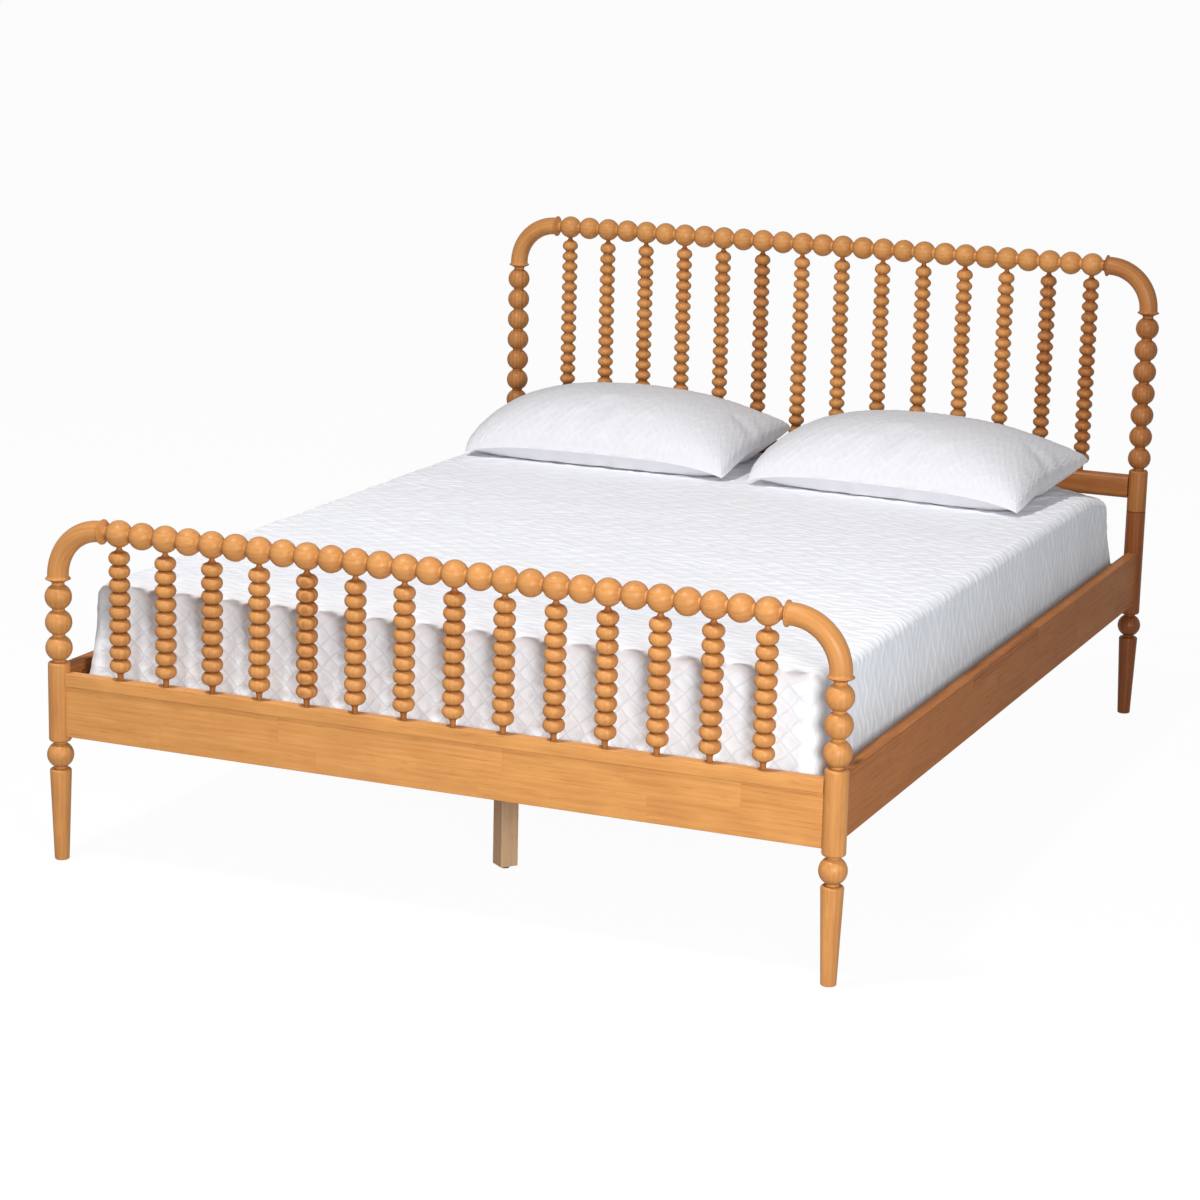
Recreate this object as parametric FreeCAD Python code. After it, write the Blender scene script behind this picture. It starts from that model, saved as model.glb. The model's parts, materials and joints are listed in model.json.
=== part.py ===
import FreeCAD, Part
import math
import os

# A bobbin-turned platform bed, made up with a mattress and two pillows.
# X runs across the bed, Y from the footboard to the headboard and Z up from the floor.
# The origin is on the floor, midway between the four legs. All sizes are in millimetres.

# Turned beads of the posts and top rails
BALL_DIAMETER = 52.0
BALL_PITCH = 50.0
NECK_DIAMETER = 24.5
FOOT_POST_BALLS = 3
HEAD_POST_BALLS = 7

# Bent elbows that join each post to its top rail
ELBOW_REACH = 111.0
ELBOW_DIAMETER = 41.0
COLLAR_DIAMETER = 48.5
COLLAR_WIDTH = 2.5
COLLAR_COVE = 4.0
COLLAR_BEVEL = 6.0
ELBOW_NECK_LENGTH = 3.5

# Posts and legs
POST_DIAMETER = 43.5
POST_SHOULDER = 5.5
POST_FLAT_DEPTH = 1.75
LEG_TIP_DIAMETER = 28.5
LEG_TIP_EASE = 1.5
LEG_TOP_DIAMETER = 42.0
LEG_TAPER_HEIGHT = 182.85
LEG_SHOULDER = 5.0
FOOT_BARREL_LENGTH = 157.2
HEAD_LEG_BARREL_LENGTH = 242.85
HEAD_POST_BARREL_LENGTH = 95.85
POST_JOINT_EASE = 0.8

# Spindles, measured from the seat of the lower peg to the underside of the ball above
SPINDLE_BALL_STEP = 2
SPINDLE_BASE_LENGTH = 28.5
SPINDLE_CROWN_LENGTH = 20.5
SPINDLE_SWELL_HEIGHT = 12.5
SPINDLE_WAIST_DIAMETER = 22.0
PEG_DIAMETER = 11.5
PEG_LENGTH = 9.0
CROWN_NECK_DIAMETER = 10.0
TENON_DIAMETER = 9.0
TENON_LENGTH = 11.0
FOOT_BEADS = 9
FOOT_BEAD_DIAMETER = 41.0
FOOT_GROOVE_DIAMETER = 21.5
HEAD_BEADS = 17
HEAD_BEAD_DIAMETER = 37.4
HEAD_BEAD_BAND = 11.5
HEAD_BEAD_EDGE_DIAMETER = 33.8
HEAD_GROOVE_DIAMETER = 22.0
HEAD_GROOVE_WIDTH = 2.5

# Boards between the posts
BOARD_EASE = 1.5
SIDE_RAIL_HEIGHT = 120.0
SIDE_RAIL_THICKNESS = 25.0
SIDE_RAIL_DROP = 10.35
CROSS_RAIL_DROP = 36.0
CAP_HEIGHT = 25.0
CAP_THICKNESS = 24.0
CAP_DROP = 20.35
PANEL_HEIGHT = 100.0
PANEL_THICKNESS = 18.0
LOWER_RAIL_HEIGHT = 54.0
LOWER_RAIL_THICKNESS = 30.0
LOWER_RAIL_ROUND = 13.0
LOWER_RAIL_DROP = 12.85

# Slats, the cleats they lie on and the rail that carries their middles
SLAT_COUNT = 14
SLAT_WIDTH = 76.0
SLAT_THICKNESS = 16.0
SLAT_DROP = 42.0
SLAT_END_GAP = 4.0
SLAT_FIELD_MARGIN = 69.0
CLEAT_WIDTH = 25.0
CLEAT_HEIGHT = 25.0
CLEAT_END_GAP = 25.0
CENTRE_RAIL_WIDTH = 40.0
CENTRE_RAIL_HEIGHT = 60.0
BRACKET_PLATE = 3.0
BRACKET_WING = 20.0
BRACKET_HEIGHT = 55.0
BRACKET_SEAT = 45.0

# Centre legs, which screw into the centre rail, and their levelling glides
CENTRE_LEG_COUNT = 3
CENTRE_LEG_SIDE = 36.5
CENTRE_LEG_TURN = 52.0
CENTRE_LEG_EASE = 1.5
GLIDE_DIAMETER = 17.0
GLIDE_THICKNESS = 6.0
GLIDE_GAP = 0.3
GLIDE_STEM_DIAMETER = 8.0
GLIDE_STEM_LENGTH = 26.0

# Fasteners and how loosely they sit in their holes
FIT = 0.05
HOLE_END_GAP = 1.0
SEAT_GAP = 0.1
DOWEL_DIAMETER = 10.0
DOWEL_LENGTH = 30.0
PANEL_DOWEL_INSET = 22.0
LOWER_RAIL_DOWEL_SPACING = 26.0
CROSS_RAIL_DOWEL_SPACING = 24.0
POST_STUD_DIAMETER = 10.0
POST_STUD_LENGTH = 70.0
LEG_STUD_DIAMETER = 8.0
LEG_STUD_LENGTH = 50.0
BED_BOLT_DIAMETER = 8.0
BED_BOLT_LENGTH = 84.0
BED_BOLT_IN_POST = 24.0
BED_BOLT_SPACING = 70.0
BARREL_NUT_DIAMETER = 14.0
BARREL_NUT_LENGTH = 15.0
BARREL_NUT_INSET = 45.0
SCREW_DIAMETER = 4.0
SCREW_HEAD_DIAMETER = 8.0
SCREW_HEAD_HEIGHT = 3.0
SLAT_SCREW_LENGTH = 34.0
CLEAT_SCREW_LENGTH = 38.0
BRACKET_SCREW_LENGTH = 14.0

# Mattress and pillows
MATTRESS_WIDTH = 1500.0
MATTRESS_LENGTH = 2010.0
MATTRESS_HEIGHT = 203.0
MATTRESS_FOOT_GAP = 15.0
MATTRESS_HEAD_GAP = 26.0
MATTRESS_SIDE_GAP = 23.5
MATTRESS_CORNER = 38.0
MATTRESS_EDGE_ROUND = 26.0
MATTRESS_FOOT_ROUND = 18.0
MATTRESS_DRAW = 5.0
PILLOW_WIDTH = 668.0
PILLOW_DEPTH = 440.0
PILLOW_HEIGHT = 155.0
PILLOW_SEAM_HEIGHT = 42.0
PILLOW_DRAW = 16.0
PILLOW_EDGE = 6.0
PILLOW_FLAT_SHARE = 0.56
LEFT_PILLOW_INSET = 47.0
LEFT_PILLOW_SETBACK = -5.0
LEFT_PILLOW_TURN = 0.0
RIGHT_PILLOW_INSET = 8.0
RIGHT_PILLOW_SETBACK = 20.0
RIGHT_PILLOW_TURN = -4.5

# How finely the soft forms are stepped
ROLL_STEPS = 5
SIDE_STEPS = 6
PILLOW_STEPS = 9

# Values that follow from the sizes above
V = FreeCAD.Vector
ALONG_X = V(1, 0, 0)
ALONG_Y = V(0, 1, 0)
ALONG_Z = V(0, 0, 1)
SIDES = {"left": -1, "right": 1}
ENDS = {"foot": -1, "head": 1}

BALL_R = BALL_DIAMETER / 2
NECK_R = NECK_DIAMETER / 2
POST_R = POST_DIAMETER / 2
TENON_R = TENON_DIAMETER / 2
BALL_HALF = math.sqrt(BALL_R ** 2 - NECK_R ** 2)
NECK_LENGTH = BALL_PITCH - 2 * BALL_HALF
BALL_STEP = BALL_HALF + NECK_LENGTH
ELBOW_END = ELBOW_NECK_LENGTH + COLLAR_BEVEL + COLLAR_WIDTH + COLLAR_COVE

# The frame is made round the mattress. A top rail holds an odd number of balls, so that a spindle stands
# under each end ball, and its pitch is what fills the space between the elbows.
POST_X = MATTRESS_WIDTH / 2 + MATTRESS_SIDE_GAP + SIDE_RAIL_THICKNESS / 2
MATTRESS_SPACE = MATTRESS_FOOT_GAP + MATTRESS_LENGTH + MATTRESS_HEAD_GAP
POST_SPACING_LENGTHWISE = CAP_THICKNESS / 2 + MATTRESS_SPACE + LOWER_RAIL_THICKNESS / 2
POST_Y = POST_SPACING_LENGTHWISE / 2
RAIL_HALF = POST_X - ELBOW_REACH
RAIL_BALLS = 2 * round((2 * RAIL_HALF / BALL_PITCH - 1) / 2) + 1
RAIL_PITCH = 2 * RAIL_HALF / RAIL_BALLS
BOARD_INSET = POST_R - POST_FLAT_DEPTH
BOARD_END_X = POST_X - BOARD_INSET
BOARD_END_Y = POST_Y - BOARD_INSET

LEG_BALL_Z = LEG_TAPER_HEIGHT + BALL_STEP
BARREL_BASE = LEG_BALL_Z + BALL_STEP
FOOT_BARREL_TOP = BARREL_BASE + FOOT_BARREL_LENGTH
HEAD_JOINT_Z = BARREL_BASE + HEAD_LEG_BARREL_LENGTH
HEAD_BARREL_TOP = HEAD_JOINT_Z + HEAD_POST_BARREL_LENGTH
FOOT_POST_TOP = FOOT_BARREL_TOP + BALL_STEP + (FOOT_POST_BALLS - 0.5) * BALL_PITCH
HEAD_POST_TOP = HEAD_BARREL_TOP + BALL_STEP + (HEAD_POST_BALLS - 0.5) * BALL_PITCH
FOOT_RAIL_Z = FOOT_POST_TOP + ELBOW_REACH
HEAD_RAIL_Z = HEAD_POST_TOP + ELBOW_REACH

SIDE_RAIL_TOP = FOOT_BARREL_TOP - SIDE_RAIL_DROP
SIDE_RAIL_BASE = SIDE_RAIL_TOP - SIDE_RAIL_HEIGHT
SIDE_RAIL_MID = (SIDE_RAIL_TOP + SIDE_RAIL_BASE) / 2
SIDE_RAIL_INNER = POST_X - SIDE_RAIL_THICKNESS / 2
CAP_TOP = FOOT_BARREL_TOP - CAP_DROP
CAP_BASE = CAP_TOP - CAP_HEIGHT
PANEL_BASE = CAP_BASE - PANEL_HEIGHT
PANEL_BACK = -POST_Y + PANEL_THICKNESS / 2
CAP_BACK = -POST_Y + CAP_THICKNESS / 2
CROSS_RAIL_FRONT = POST_Y - SIDE_RAIL_THICKNESS / 2
CROSS_RAIL_TOP = SIDE_RAIL_TOP - CROSS_RAIL_DROP
LOWER_RAIL_TOP = HEAD_BARREL_TOP - LOWER_RAIL_DROP
LOWER_RAIL_BASE = LOWER_RAIL_TOP - LOWER_RAIL_HEIGHT
LOWER_RAIL_MID = (LOWER_RAIL_TOP + LOWER_RAIL_BASE) / 2

SLAT_TOP = SIDE_RAIL_TOP - SLAT_DROP
SLAT_BASE = SLAT_TOP - SLAT_THICKNESS
SLAT_FIELD = POST_Y - SLAT_FIELD_MARGIN
SLAT_PITCH = 2 * SLAT_FIELD / (SLAT_COUNT - 1)
SLAT_PLACES = [i * SLAT_PITCH - SLAT_FIELD for i in range(SLAT_COUNT)]
CLEAT_MID_X = SIDE_RAIL_INNER - CLEAT_WIDTH / 2
CLEAT_SCREW_PLACES = [y + SLAT_PITCH / 2 for y in SLAT_PLACES[:-1:3]]
CENTRE_RAIL_BASE = SLAT_BASE - CENTRE_RAIL_HEIGHT
CENTRE_RAIL_ENDS = (PANEL_BACK + BRACKET_PLATE, CROSS_RAIL_FRONT - BRACKET_PLATE)
CENTRE_LEG_PITCH = POST_SPACING_LENGTHWISE / CENTRE_LEG_COUNT
CENTRE_LEG_PLACES = [(i - (CENTRE_LEG_COUNT - 1) / 2) * CENTRE_LEG_PITCH for i in range(CENTRE_LEG_COUNT)]
CENTRE_LEG_FOOT = GLIDE_THICKNESS + GLIDE_GAP

SPINDLE_COUNT = (RAIL_BALLS + SPINDLE_BALL_STEP - 1) // SPINDLE_BALL_STEP
SPINDLE_PITCH = RAIL_PITCH * SPINDLE_BALL_STEP
SPINDLE_PLACES = [(i - (SPINDLE_COUNT - 1) / 2) * SPINDLE_PITCH for i in range(SPINDLE_COUNT)]
TENON_HOLE_R = TENON_R + FIT
BALL_SEAT_DROP = math.sqrt(BALL_R ** 2 - TENON_HOLE_R ** 2) + SEAT_GAP

MATTRESS_BASE = SLAT_TOP
MATTRESS_TOP = MATTRESS_BASE + MATTRESS_HEIGHT
MATTRESS_MID_Y = CAP_BACK + MATTRESS_FOOT_GAP + MATTRESS_LENGTH / 2
MATTRESS_HEAD_END = MATTRESS_MID_Y + MATTRESS_LENGTH / 2


class Outline:
    """Outline of a turned piece, as radius against height, from one end of its axis to the other."""

    def __init__(self, height):
        self.first = V(0, 0, height)
        self.point = self.first
        self.edges = []

    def line(self, radius, height):
        end = V(radius, 0, height)
        self.edges.append(Part.LineSegment(self.point, end).toShape())
        self.point = end

    def arc(self, middle_radius, middle_height, radius, height):
        end = V(radius, 0, height)
        self.edges.append(Part.Arc(self.point, V(middle_radius, 0, middle_height), end).toShape())
        self.point = end

    def sweep(self, radius, height, upright):
        """Arc that runs parallel to the axis at its upright end, which is "start" or "end"."""
        start = self.point
        end = V(radius, 0, height)
        still, other = (start, end) if upright == "start" else (end, start)
        run = still.x - other.x
        rise = still.z - other.z
        bend = (run ** 2 + rise ** 2) / (2 * run)
        centre = V(still.x - bend, 0, still.z)
        middle = (start - centre).normalize() + (end - centre).normalize()
        middle = centre + middle.normalize() * abs(bend)
        self.arc(middle.x, middle.z, radius, height)

    def ball(self, height):
        self.line(NECK_R, height - BALL_HALF)
        self.arc(BALL_R, height, NECK_R, height + BALL_HALF)

    def solid(self):
        self.line(0, self.point.z)
        self.edges.append(Part.LineSegment(self.point, self.first).toShape())
        return Part.Face(Part.Wire(self.edges)).revolve(V(0, 0, 0), ALONG_Z, 360)


def rod(start, direction, diameter, length):
    return Part.makeCylinder(diameter / 2, length, start, direction)


def rod_about(point, direction, diameter, length):
    """Rod centred on a point."""
    return rod(point - direction * (length / 2), direction, diameter, length)


def board(low, high, ease, along):
    """Board between two corners, its edges eased along one axis."""
    shape = Part.makeBox(high.x - low.x, high.y - low.y, high.z - low.z, low)
    edges = [e for e in shape.Edges if abs(e.tangentAt(e.FirstParameter).dot(along)) > 0.9]
    return shape.makeFillet(ease, edges)


def cut(shape, tools):
    return shape.cut(Part.makeCompound(tools)) if tools else shape


def dowel_hole(point, direction):
    return rod_about(point, direction, DOWEL_DIAMETER + 2 * FIT, DOWEL_LENGTH + 2 * HOLE_END_GAP)


def save(name, *solids):
    shape = solids[0] if len(solids) == 1 else Part.makeCompound(solids)
    shape.exportStep(f"parts/{name}.step")


def rail_end_joints(end_y, rail_z):
    return [(V(side * RAIL_HALF, end_y, rail_z), ALONG_X) for side in SIDES.values()]


def post_top_joint(side, end_y, top):
    return V(side * POST_X, end_y, top), ALONG_Z


def board_end_joints(side, end_y, heights):
    return [(V(side * BOARD_END_X, end_y, z), ALONG_X) for z in heights]


# Dowels that pin the glued joints, each centred on the face where two pieces meet
PANEL_DOWELS_Z = (PANEL_BASE + PANEL_DOWEL_INSET, CAP_BASE - PANEL_DOWEL_INSET)
LOWER_RAIL_DOWELS_Z = [LOWER_RAIL_MID + s * LOWER_RAIL_DOWEL_SPACING / 2 for s in (-1, 1)]
CROSS_RAIL_DOWELS_Z = [SIDE_RAIL_MID + s * CROSS_RAIL_DOWEL_SPACING / 2 for s in (-1, 1)]
CAP_JOINTS = [(V(x + SPINDLE_PITCH / 2, -POST_Y, CAP_BASE), ALONG_Z) for x in SPINDLE_PLACES[:-1:4]]


def panel_joints(side):
    return board_end_joints(side, -POST_Y, PANEL_DOWELS_Z)


def lower_rail_joints(side):
    return board_end_joints(side, POST_Y, LOWER_RAIL_DOWELS_Z)


def cross_rail_joints(side):
    return board_end_joints(side, POST_Y, CROSS_RAIL_DOWELS_Z)


def bed_bolts(side, end):
    """Axis lines of the two bolts of a side rail's end: where each leaves the post, and its direction."""
    face = V(side * POST_X, end * BOARD_END_Y, SIDE_RAIL_MID)
    return [(face + ALONG_Z * (s * BED_BOLT_SPACING / 2), ALONG_Y * -end) for s in (-1, 1)]


def bed_bolt(face, inward, diameter, slack):
    start = face - inward * (BED_BOLT_IN_POST + slack)
    return rod(start, inward, diameter, BED_BOLT_LENGTH + 2 * slack)


def bed_bolt_hole(face, inward):
    return bed_bolt(face, inward, BED_BOLT_DIAMETER + 2 * FIT, HOLE_END_GAP)


def barrel_nut_middle(face, inward):
    return face + inward * BARREL_NUT_INSET


def barrel_nut(face, inward):
    nut = rod_about(barrel_nut_middle(face, inward), ALONG_X, BARREL_NUT_DIAMETER, BARREL_NUT_LENGTH)
    return nut.cut(bed_bolt_hole(face, inward))


def barrel_nut_hole(face, inward, side):
    """Hole for a barrel nut, bored in from the inner face of the side rail."""
    middle = barrel_nut_middle(face, inward)
    bottom = middle + ALONG_X * (side * (BARREL_NUT_LENGTH / 2 + FIT))
    depth = SIDE_RAIL_THICKNESS / 2 + BARREL_NUT_LENGTH / 2 + HOLE_END_GAP
    return rod(bottom, ALONG_X * -side, BARREL_NUT_DIAMETER + 2 * FIT, depth)


def screw(seat, inward, length):
    """Wood screw whose head stands on a seat and whose shank runs inward."""
    head = rod(seat, inward * -1, SCREW_HEAD_DIAMETER, SCREW_HEAD_HEIGHT)
    return head.fuse(rod(seat, inward, SCREW_DIAMETER, length))


def screw_hole(seat, inward, length):
    return rod(seat, inward, SCREW_DIAMETER + 2 * FIT, length + HOLE_END_GAP)


def screw_recess(seat, inward):
    return rod(seat, inward * -1, SCREW_HEAD_DIAMETER + 2 * FIT, SCREW_HEAD_HEIGHT + HOLE_END_GAP)


def post_flat_x(side, end_y, low, high):
    """Tool that planes the flat on a post where a crosswise board butts."""
    box = Part.makeBox(POST_R, POST_DIAMETER, high - low, V(0, -POST_R, low))
    box.translate(V(side * BOARD_END_X - (POST_R if side > 0 else 0), end_y, 0))
    return box


def post_flat_y(side, end, low, high):
    """Tool that planes the flat on a post where a side rail butts."""
    box = Part.makeBox(POST_DIAMETER, POST_R, high - low, V(-POST_R, 0, low))
    box.translate(V(side * POST_X, end * BOARD_END_Y - (POST_R if end > 0 else 0), 0))
    return box


def turned_leg(outline):
    """Tapered foot, ball and the start of the barrel, common to all four corner legs."""
    tip = LEG_TIP_DIAMETER / 2
    top = LEG_TOP_DIAMETER / 2
    outline.line(tip - LEG_TIP_EASE, 0)
    outline.line(tip, LEG_TIP_EASE)
    outline.line(top, LEG_TAPER_HEIGHT - LEG_SHOULDER)
    outline.sweep(top - LEG_SHOULDER, LEG_TAPER_HEIGHT, "start")
    outline.line(NECK_R, LEG_TAPER_HEIGHT)
    outline.ball(LEG_BALL_Z)
    outline.line(NECK_R, BARREL_BASE)
    outline.line(POST_R - POST_SHOULDER, BARREL_BASE)
    outline.sweep(POST_R, BARREL_BASE + POST_SHOULDER, "end")


def turned_balls(outline, barrel_top, count):
    """Top shoulder of a barrel and the string of balls above it, up to the joint with the elbow."""
    outline.line(POST_R, barrel_top - POST_SHOULDER)
    outline.sweep(POST_R - POST_SHOULDER, barrel_top, "start")
    outline.line(NECK_R, barrel_top)
    for i in range(count):
        outline.ball(barrel_top + BALL_STEP + i * BALL_PITCH)
    outline.line(NECK_R, barrel_top + BALL_STEP + (count - 0.5) * BALL_PITCH)


def side_rail_seat(side, end):
    flat = post_flat_y(side, end, SIDE_RAIL_BASE, SIDE_RAIL_TOP)
    return [flat] + [bed_bolt_hole(*bolt) for bolt in bed_bolts(side, end)]


def foot_post(side):
    outline = Outline(0)
    turned_leg(outline)
    turned_balls(outline, FOOT_BARREL_TOP, FOOT_POST_BALLS)
    shape = outline.solid()
    shape.translate(V(side * POST_X, -POST_Y, 0))
    tools = side_rail_seat(side, ENDS["foot"])
    tools.append(post_flat_x(side, -POST_Y, PANEL_BASE, CAP_TOP))
    tools.append(dowel_hole(*post_top_joint(side, -POST_Y, FOOT_POST_TOP)))
    tools.extend(dowel_hole(*joint) for joint in panel_joints(side))
    return cut(shape, tools)


def post_stud(side, diameter, slack):
    middle = V(side * POST_X, POST_Y, HEAD_JOINT_Z)
    return rod_about(middle, ALONG_Z, diameter, POST_STUD_LENGTH + 2 * slack)


def post_stud_hole(side):
    return post_stud(side, POST_STUD_DIAMETER + 2 * FIT, HOLE_END_GAP)


def head_leg(side):
    outline = Outline(0)
    turned_leg(outline)
    outline.line(POST_R, HEAD_JOINT_Z - POST_JOINT_EASE)
    outline.line(POST_R - POST_JOINT_EASE, HEAD_JOINT_Z)
    shape = outline.solid()
    shape.translate(V(side * POST_X, POST_Y, 0))
    tools = side_rail_seat(side, ENDS["head"])
    tools.append(post_flat_x(side, POST_Y, SIDE_RAIL_BASE, CROSS_RAIL_TOP))
    tools.append(post_stud_hole(side))
    tools.extend(dowel_hole(*joint) for joint in cross_rail_joints(side))
    return cut(shape, tools)


def head_post(side):
    outline = Outline(HEAD_JOINT_Z)
    outline.line(POST_R - POST_JOINT_EASE, HEAD_JOINT_Z)
    outline.line(POST_R, HEAD_JOINT_Z + POST_JOINT_EASE)
    turned_balls(outline, HEAD_BARREL_TOP, HEAD_POST_BALLS)
    shape = outline.solid()
    shape.translate(V(side * POST_X, POST_Y, 0))
    tools = [post_flat_x(side, POST_Y, LOWER_RAIL_BASE, LOWER_RAIL_TOP), post_stud_hole(side)]
    tools.append(dowel_hole(*post_top_joint(side, POST_Y, HEAD_POST_TOP)))
    tools.extend(dowel_hole(*joint) for joint in lower_rail_joints(side))
    return cut(shape, tools)


def elbow_end():
    """Turned end of an elbow: neck, bevelled collar and cove, upwards from its joint face."""
    pipe = ELBOW_DIAMETER / 2
    collar = COLLAR_DIAMETER / 2
    collar_base = ELBOW_NECK_LENGTH + COLLAR_BEVEL
    outline = Outline(0)
    outline.line(NECK_R, 0)
    outline.line(NECK_R, ELBOW_NECK_LENGTH)
    outline.line(collar, collar_base)
    outline.line(collar, collar_base + COLLAR_WIDTH)
    outline.sweep(pipe, ELBOW_END, "end")
    return outline.solid()


def elbow(side, end_y, rail_z):
    """Quarter bend between a post and a top rail, with a turned collar at each end."""
    section = Part.Wire(Part.makeCircle(ELBOW_DIAMETER / 2, V(ELBOW_REACH, 0, ELBOW_END), ALONG_Z))
    bend = Part.Face(section).revolve(V(ELBOW_END, 0, ELBOW_END), ALONG_Y * -1, 90)
    upright = elbow_end()
    upright.translate(V(ELBOW_REACH, 0, 0))
    level = elbow_end()
    level.rotate(V(0, 0, 0), ALONG_Y, 90)
    level.translate(V(0, 0, ELBOW_REACH))
    shape = bend.fuse([upright, level]).removeSplitter()
    if side < 0:
        shape = shape.mirror(V(0, 0, 0), ALONG_X)
    shape.translate(V(side * RAIL_HALF, end_y, rail_z - ELBOW_REACH))
    joints = rail_end_joints(end_y, rail_z)
    joints.append(post_top_joint(side, end_y, rail_z - ELBOW_REACH))
    return cut(shape, [dowel_hole(*joint) for joint in joints])


def top_rail(end_y, rail_z):
    """Row of balls turned from one bar, bored under every other ball for a spindle."""
    outline = Outline(-RAIL_HALF)
    outline.line(NECK_R, -RAIL_HALF)
    for i in range(RAIL_BALLS):
        outline.ball((i + 0.5) * RAIL_PITCH - RAIL_HALF)
    outline.line(NECK_R, RAIL_HALF)
    shape = outline.solid()
    shape.rotate(V(0, 0, 0), ALONG_Y, 90)
    shape.translate(V(0, end_y, rail_z))
    tools = [dowel_hole(*joint) for joint in rail_end_joints(end_y, rail_z)]
    depth = TENON_LENGTH + HOLE_END_GAP + BALL_R - BALL_SEAT_DROP
    for x in SPINDLE_PLACES:
        tools.append(rod(V(x, end_y, rail_z - BALL_R), ALONG_Z, 2 * TENON_HOLE_R, depth))
    return cut(shape, tools)


def round_bead(outline, bead_r, groove_r, middle, pitch):
    """From the widest line of one rounded bead, through the groove, to the next bead's widest line."""
    outline.sweep(groove_r, middle + pitch / 2, "start")
    outline.sweep(bead_r, middle + pitch, "end")


def lozenge_bead(outline, bead_r, groove_r, middle, pitch):
    """As round_bead, for beads with sloping flanks and a narrow flat groove between them."""
    edge_r = HEAD_BEAD_EDGE_DIAMETER / 2
    outline.sweep(edge_r, middle + HEAD_BEAD_BAND / 2, "start")
    outline.line(groove_r, middle + (pitch - HEAD_GROOVE_WIDTH) / 2)
    outline.line(groove_r, middle + (pitch + HEAD_GROOVE_WIDTH) / 2)
    outline.line(edge_r, middle + pitch - HEAD_BEAD_BAND / 2)
    outline.sweep(bead_r, middle + pitch, "end")


def spindle(length, beads, bead_r, groove_r, bead):
    """Turned spindle from its lower tenon to its upper one, with the seat of its peg at height 0."""
    waist_r = SPINDLE_WAIST_DIAMETER / 2
    first = SPINDLE_BASE_LENGTH
    last = length - SPINDLE_CROWN_LENGTH
    pitch = (last - first) / (beads - 1)
    outline = Outline(-TENON_LENGTH)
    outline.line(TENON_R, -TENON_LENGTH)
    outline.line(TENON_R, 0)
    outline.line(PEG_DIAMETER / 2, 0)
    outline.line(PEG_DIAMETER / 2, PEG_LENGTH)
    outline.sweep(waist_r, first - SPINDLE_SWELL_HEIGHT, "start")
    outline.sweep(bead_r, first, "end")
    for i in range(beads - 1):
        bead(outline, bead_r, groove_r, first + i * pitch, pitch)
    outline.sweep(waist_r, last + SPINDLE_SWELL_HEIGHT, "start")
    outline.sweep(CROWN_NECK_DIAMETER / 2, length, "end")
    outline.line(TENON_R, length)
    outline.line(TENON_R, length + TENON_LENGTH)
    return outline.solid()


def spindle_row(end_y, seat_z, rail_z, beads, bead_diameter, groove_diameter, bead):
    length = rail_z - BALL_SEAT_DROP - seat_z
    pattern = spindle(length, beads, bead_diameter / 2, groove_diameter / 2, bead)
    return [pattern.translated(V(x, end_y, seat_z)) for x in SPINDLE_PLACES]


def spindle_seats(end_y, seat_z):
    """Holes for the spindles' lower tenons, bored down into the board that carries them."""
    depth = TENON_LENGTH + HOLE_END_GAP
    return [rod(V(x, end_y, seat_z), ALONG_Z * -1, 2 * TENON_HOLE_R, depth) for x in SPINDLE_PLACES]


def cross_board(end_y, thickness, low, high, ease):
    """Board that spans the bed between the flats of two posts."""
    near = V(-BOARD_END_X, end_y - thickness / 2, low)
    far = V(BOARD_END_X, end_y + thickness / 2, high)
    return board(near, far, ease, ALONG_X)


def both_sides(joints):
    return [joint for side in SIDES.values() for joint in joints(side)]


def foot_cap_rail():
    shape = cross_board(-POST_Y, CAP_THICKNESS, CAP_BASE, CAP_TOP, BOARD_EASE)
    return cut(shape, spindle_seats(-POST_Y, CAP_TOP) + [dowel_hole(*joint) for joint in CAP_JOINTS])


def foot_panel():
    shape = cross_board(-POST_Y, PANEL_THICKNESS, PANEL_BASE, CAP_BASE, BOARD_EASE)
    tools = [dowel_hole(*joint) for joint in both_sides(panel_joints) + CAP_JOINTS]
    return cut(shape, tools + bracket_wood_holes("foot"))


def head_lower_rail():
    shape = cross_board(POST_Y, LOWER_RAIL_THICKNESS, LOWER_RAIL_BASE, LOWER_RAIL_TOP, LOWER_RAIL_ROUND)
    tools = [dowel_hole(*joint) for joint in both_sides(lower_rail_joints)]
    return cut(shape, tools + spindle_seats(POST_Y, LOWER_RAIL_TOP))


def head_cross_rail():
    shape = cross_board(POST_Y, SIDE_RAIL_THICKNESS, SIDE_RAIL_BASE, CROSS_RAIL_TOP, BOARD_EASE)
    tools = [dowel_hole(*joint) for joint in both_sides(cross_rail_joints)]
    return cut(shape, tools + bracket_wood_holes("head"))


def cleat_screw_line(side, y):
    """Seat and direction of a screw that holds a cleat to its side rail."""
    seat_x = SIDE_RAIL_INNER - CLEAT_WIDTH + SCREW_HEAD_HEIGHT + HOLE_END_GAP
    return V(side * seat_x, y, SLAT_BASE - CLEAT_HEIGHT / 2), ALONG_X * side


def slat_screw_line(side, y):
    """Seat and direction of a screw that holds a slat to a cleat."""
    return V(side * CLEAT_MID_X, y, SLAT_TOP - SCREW_HEAD_HEIGHT - HOLE_END_GAP), ALONG_Z * -1


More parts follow.
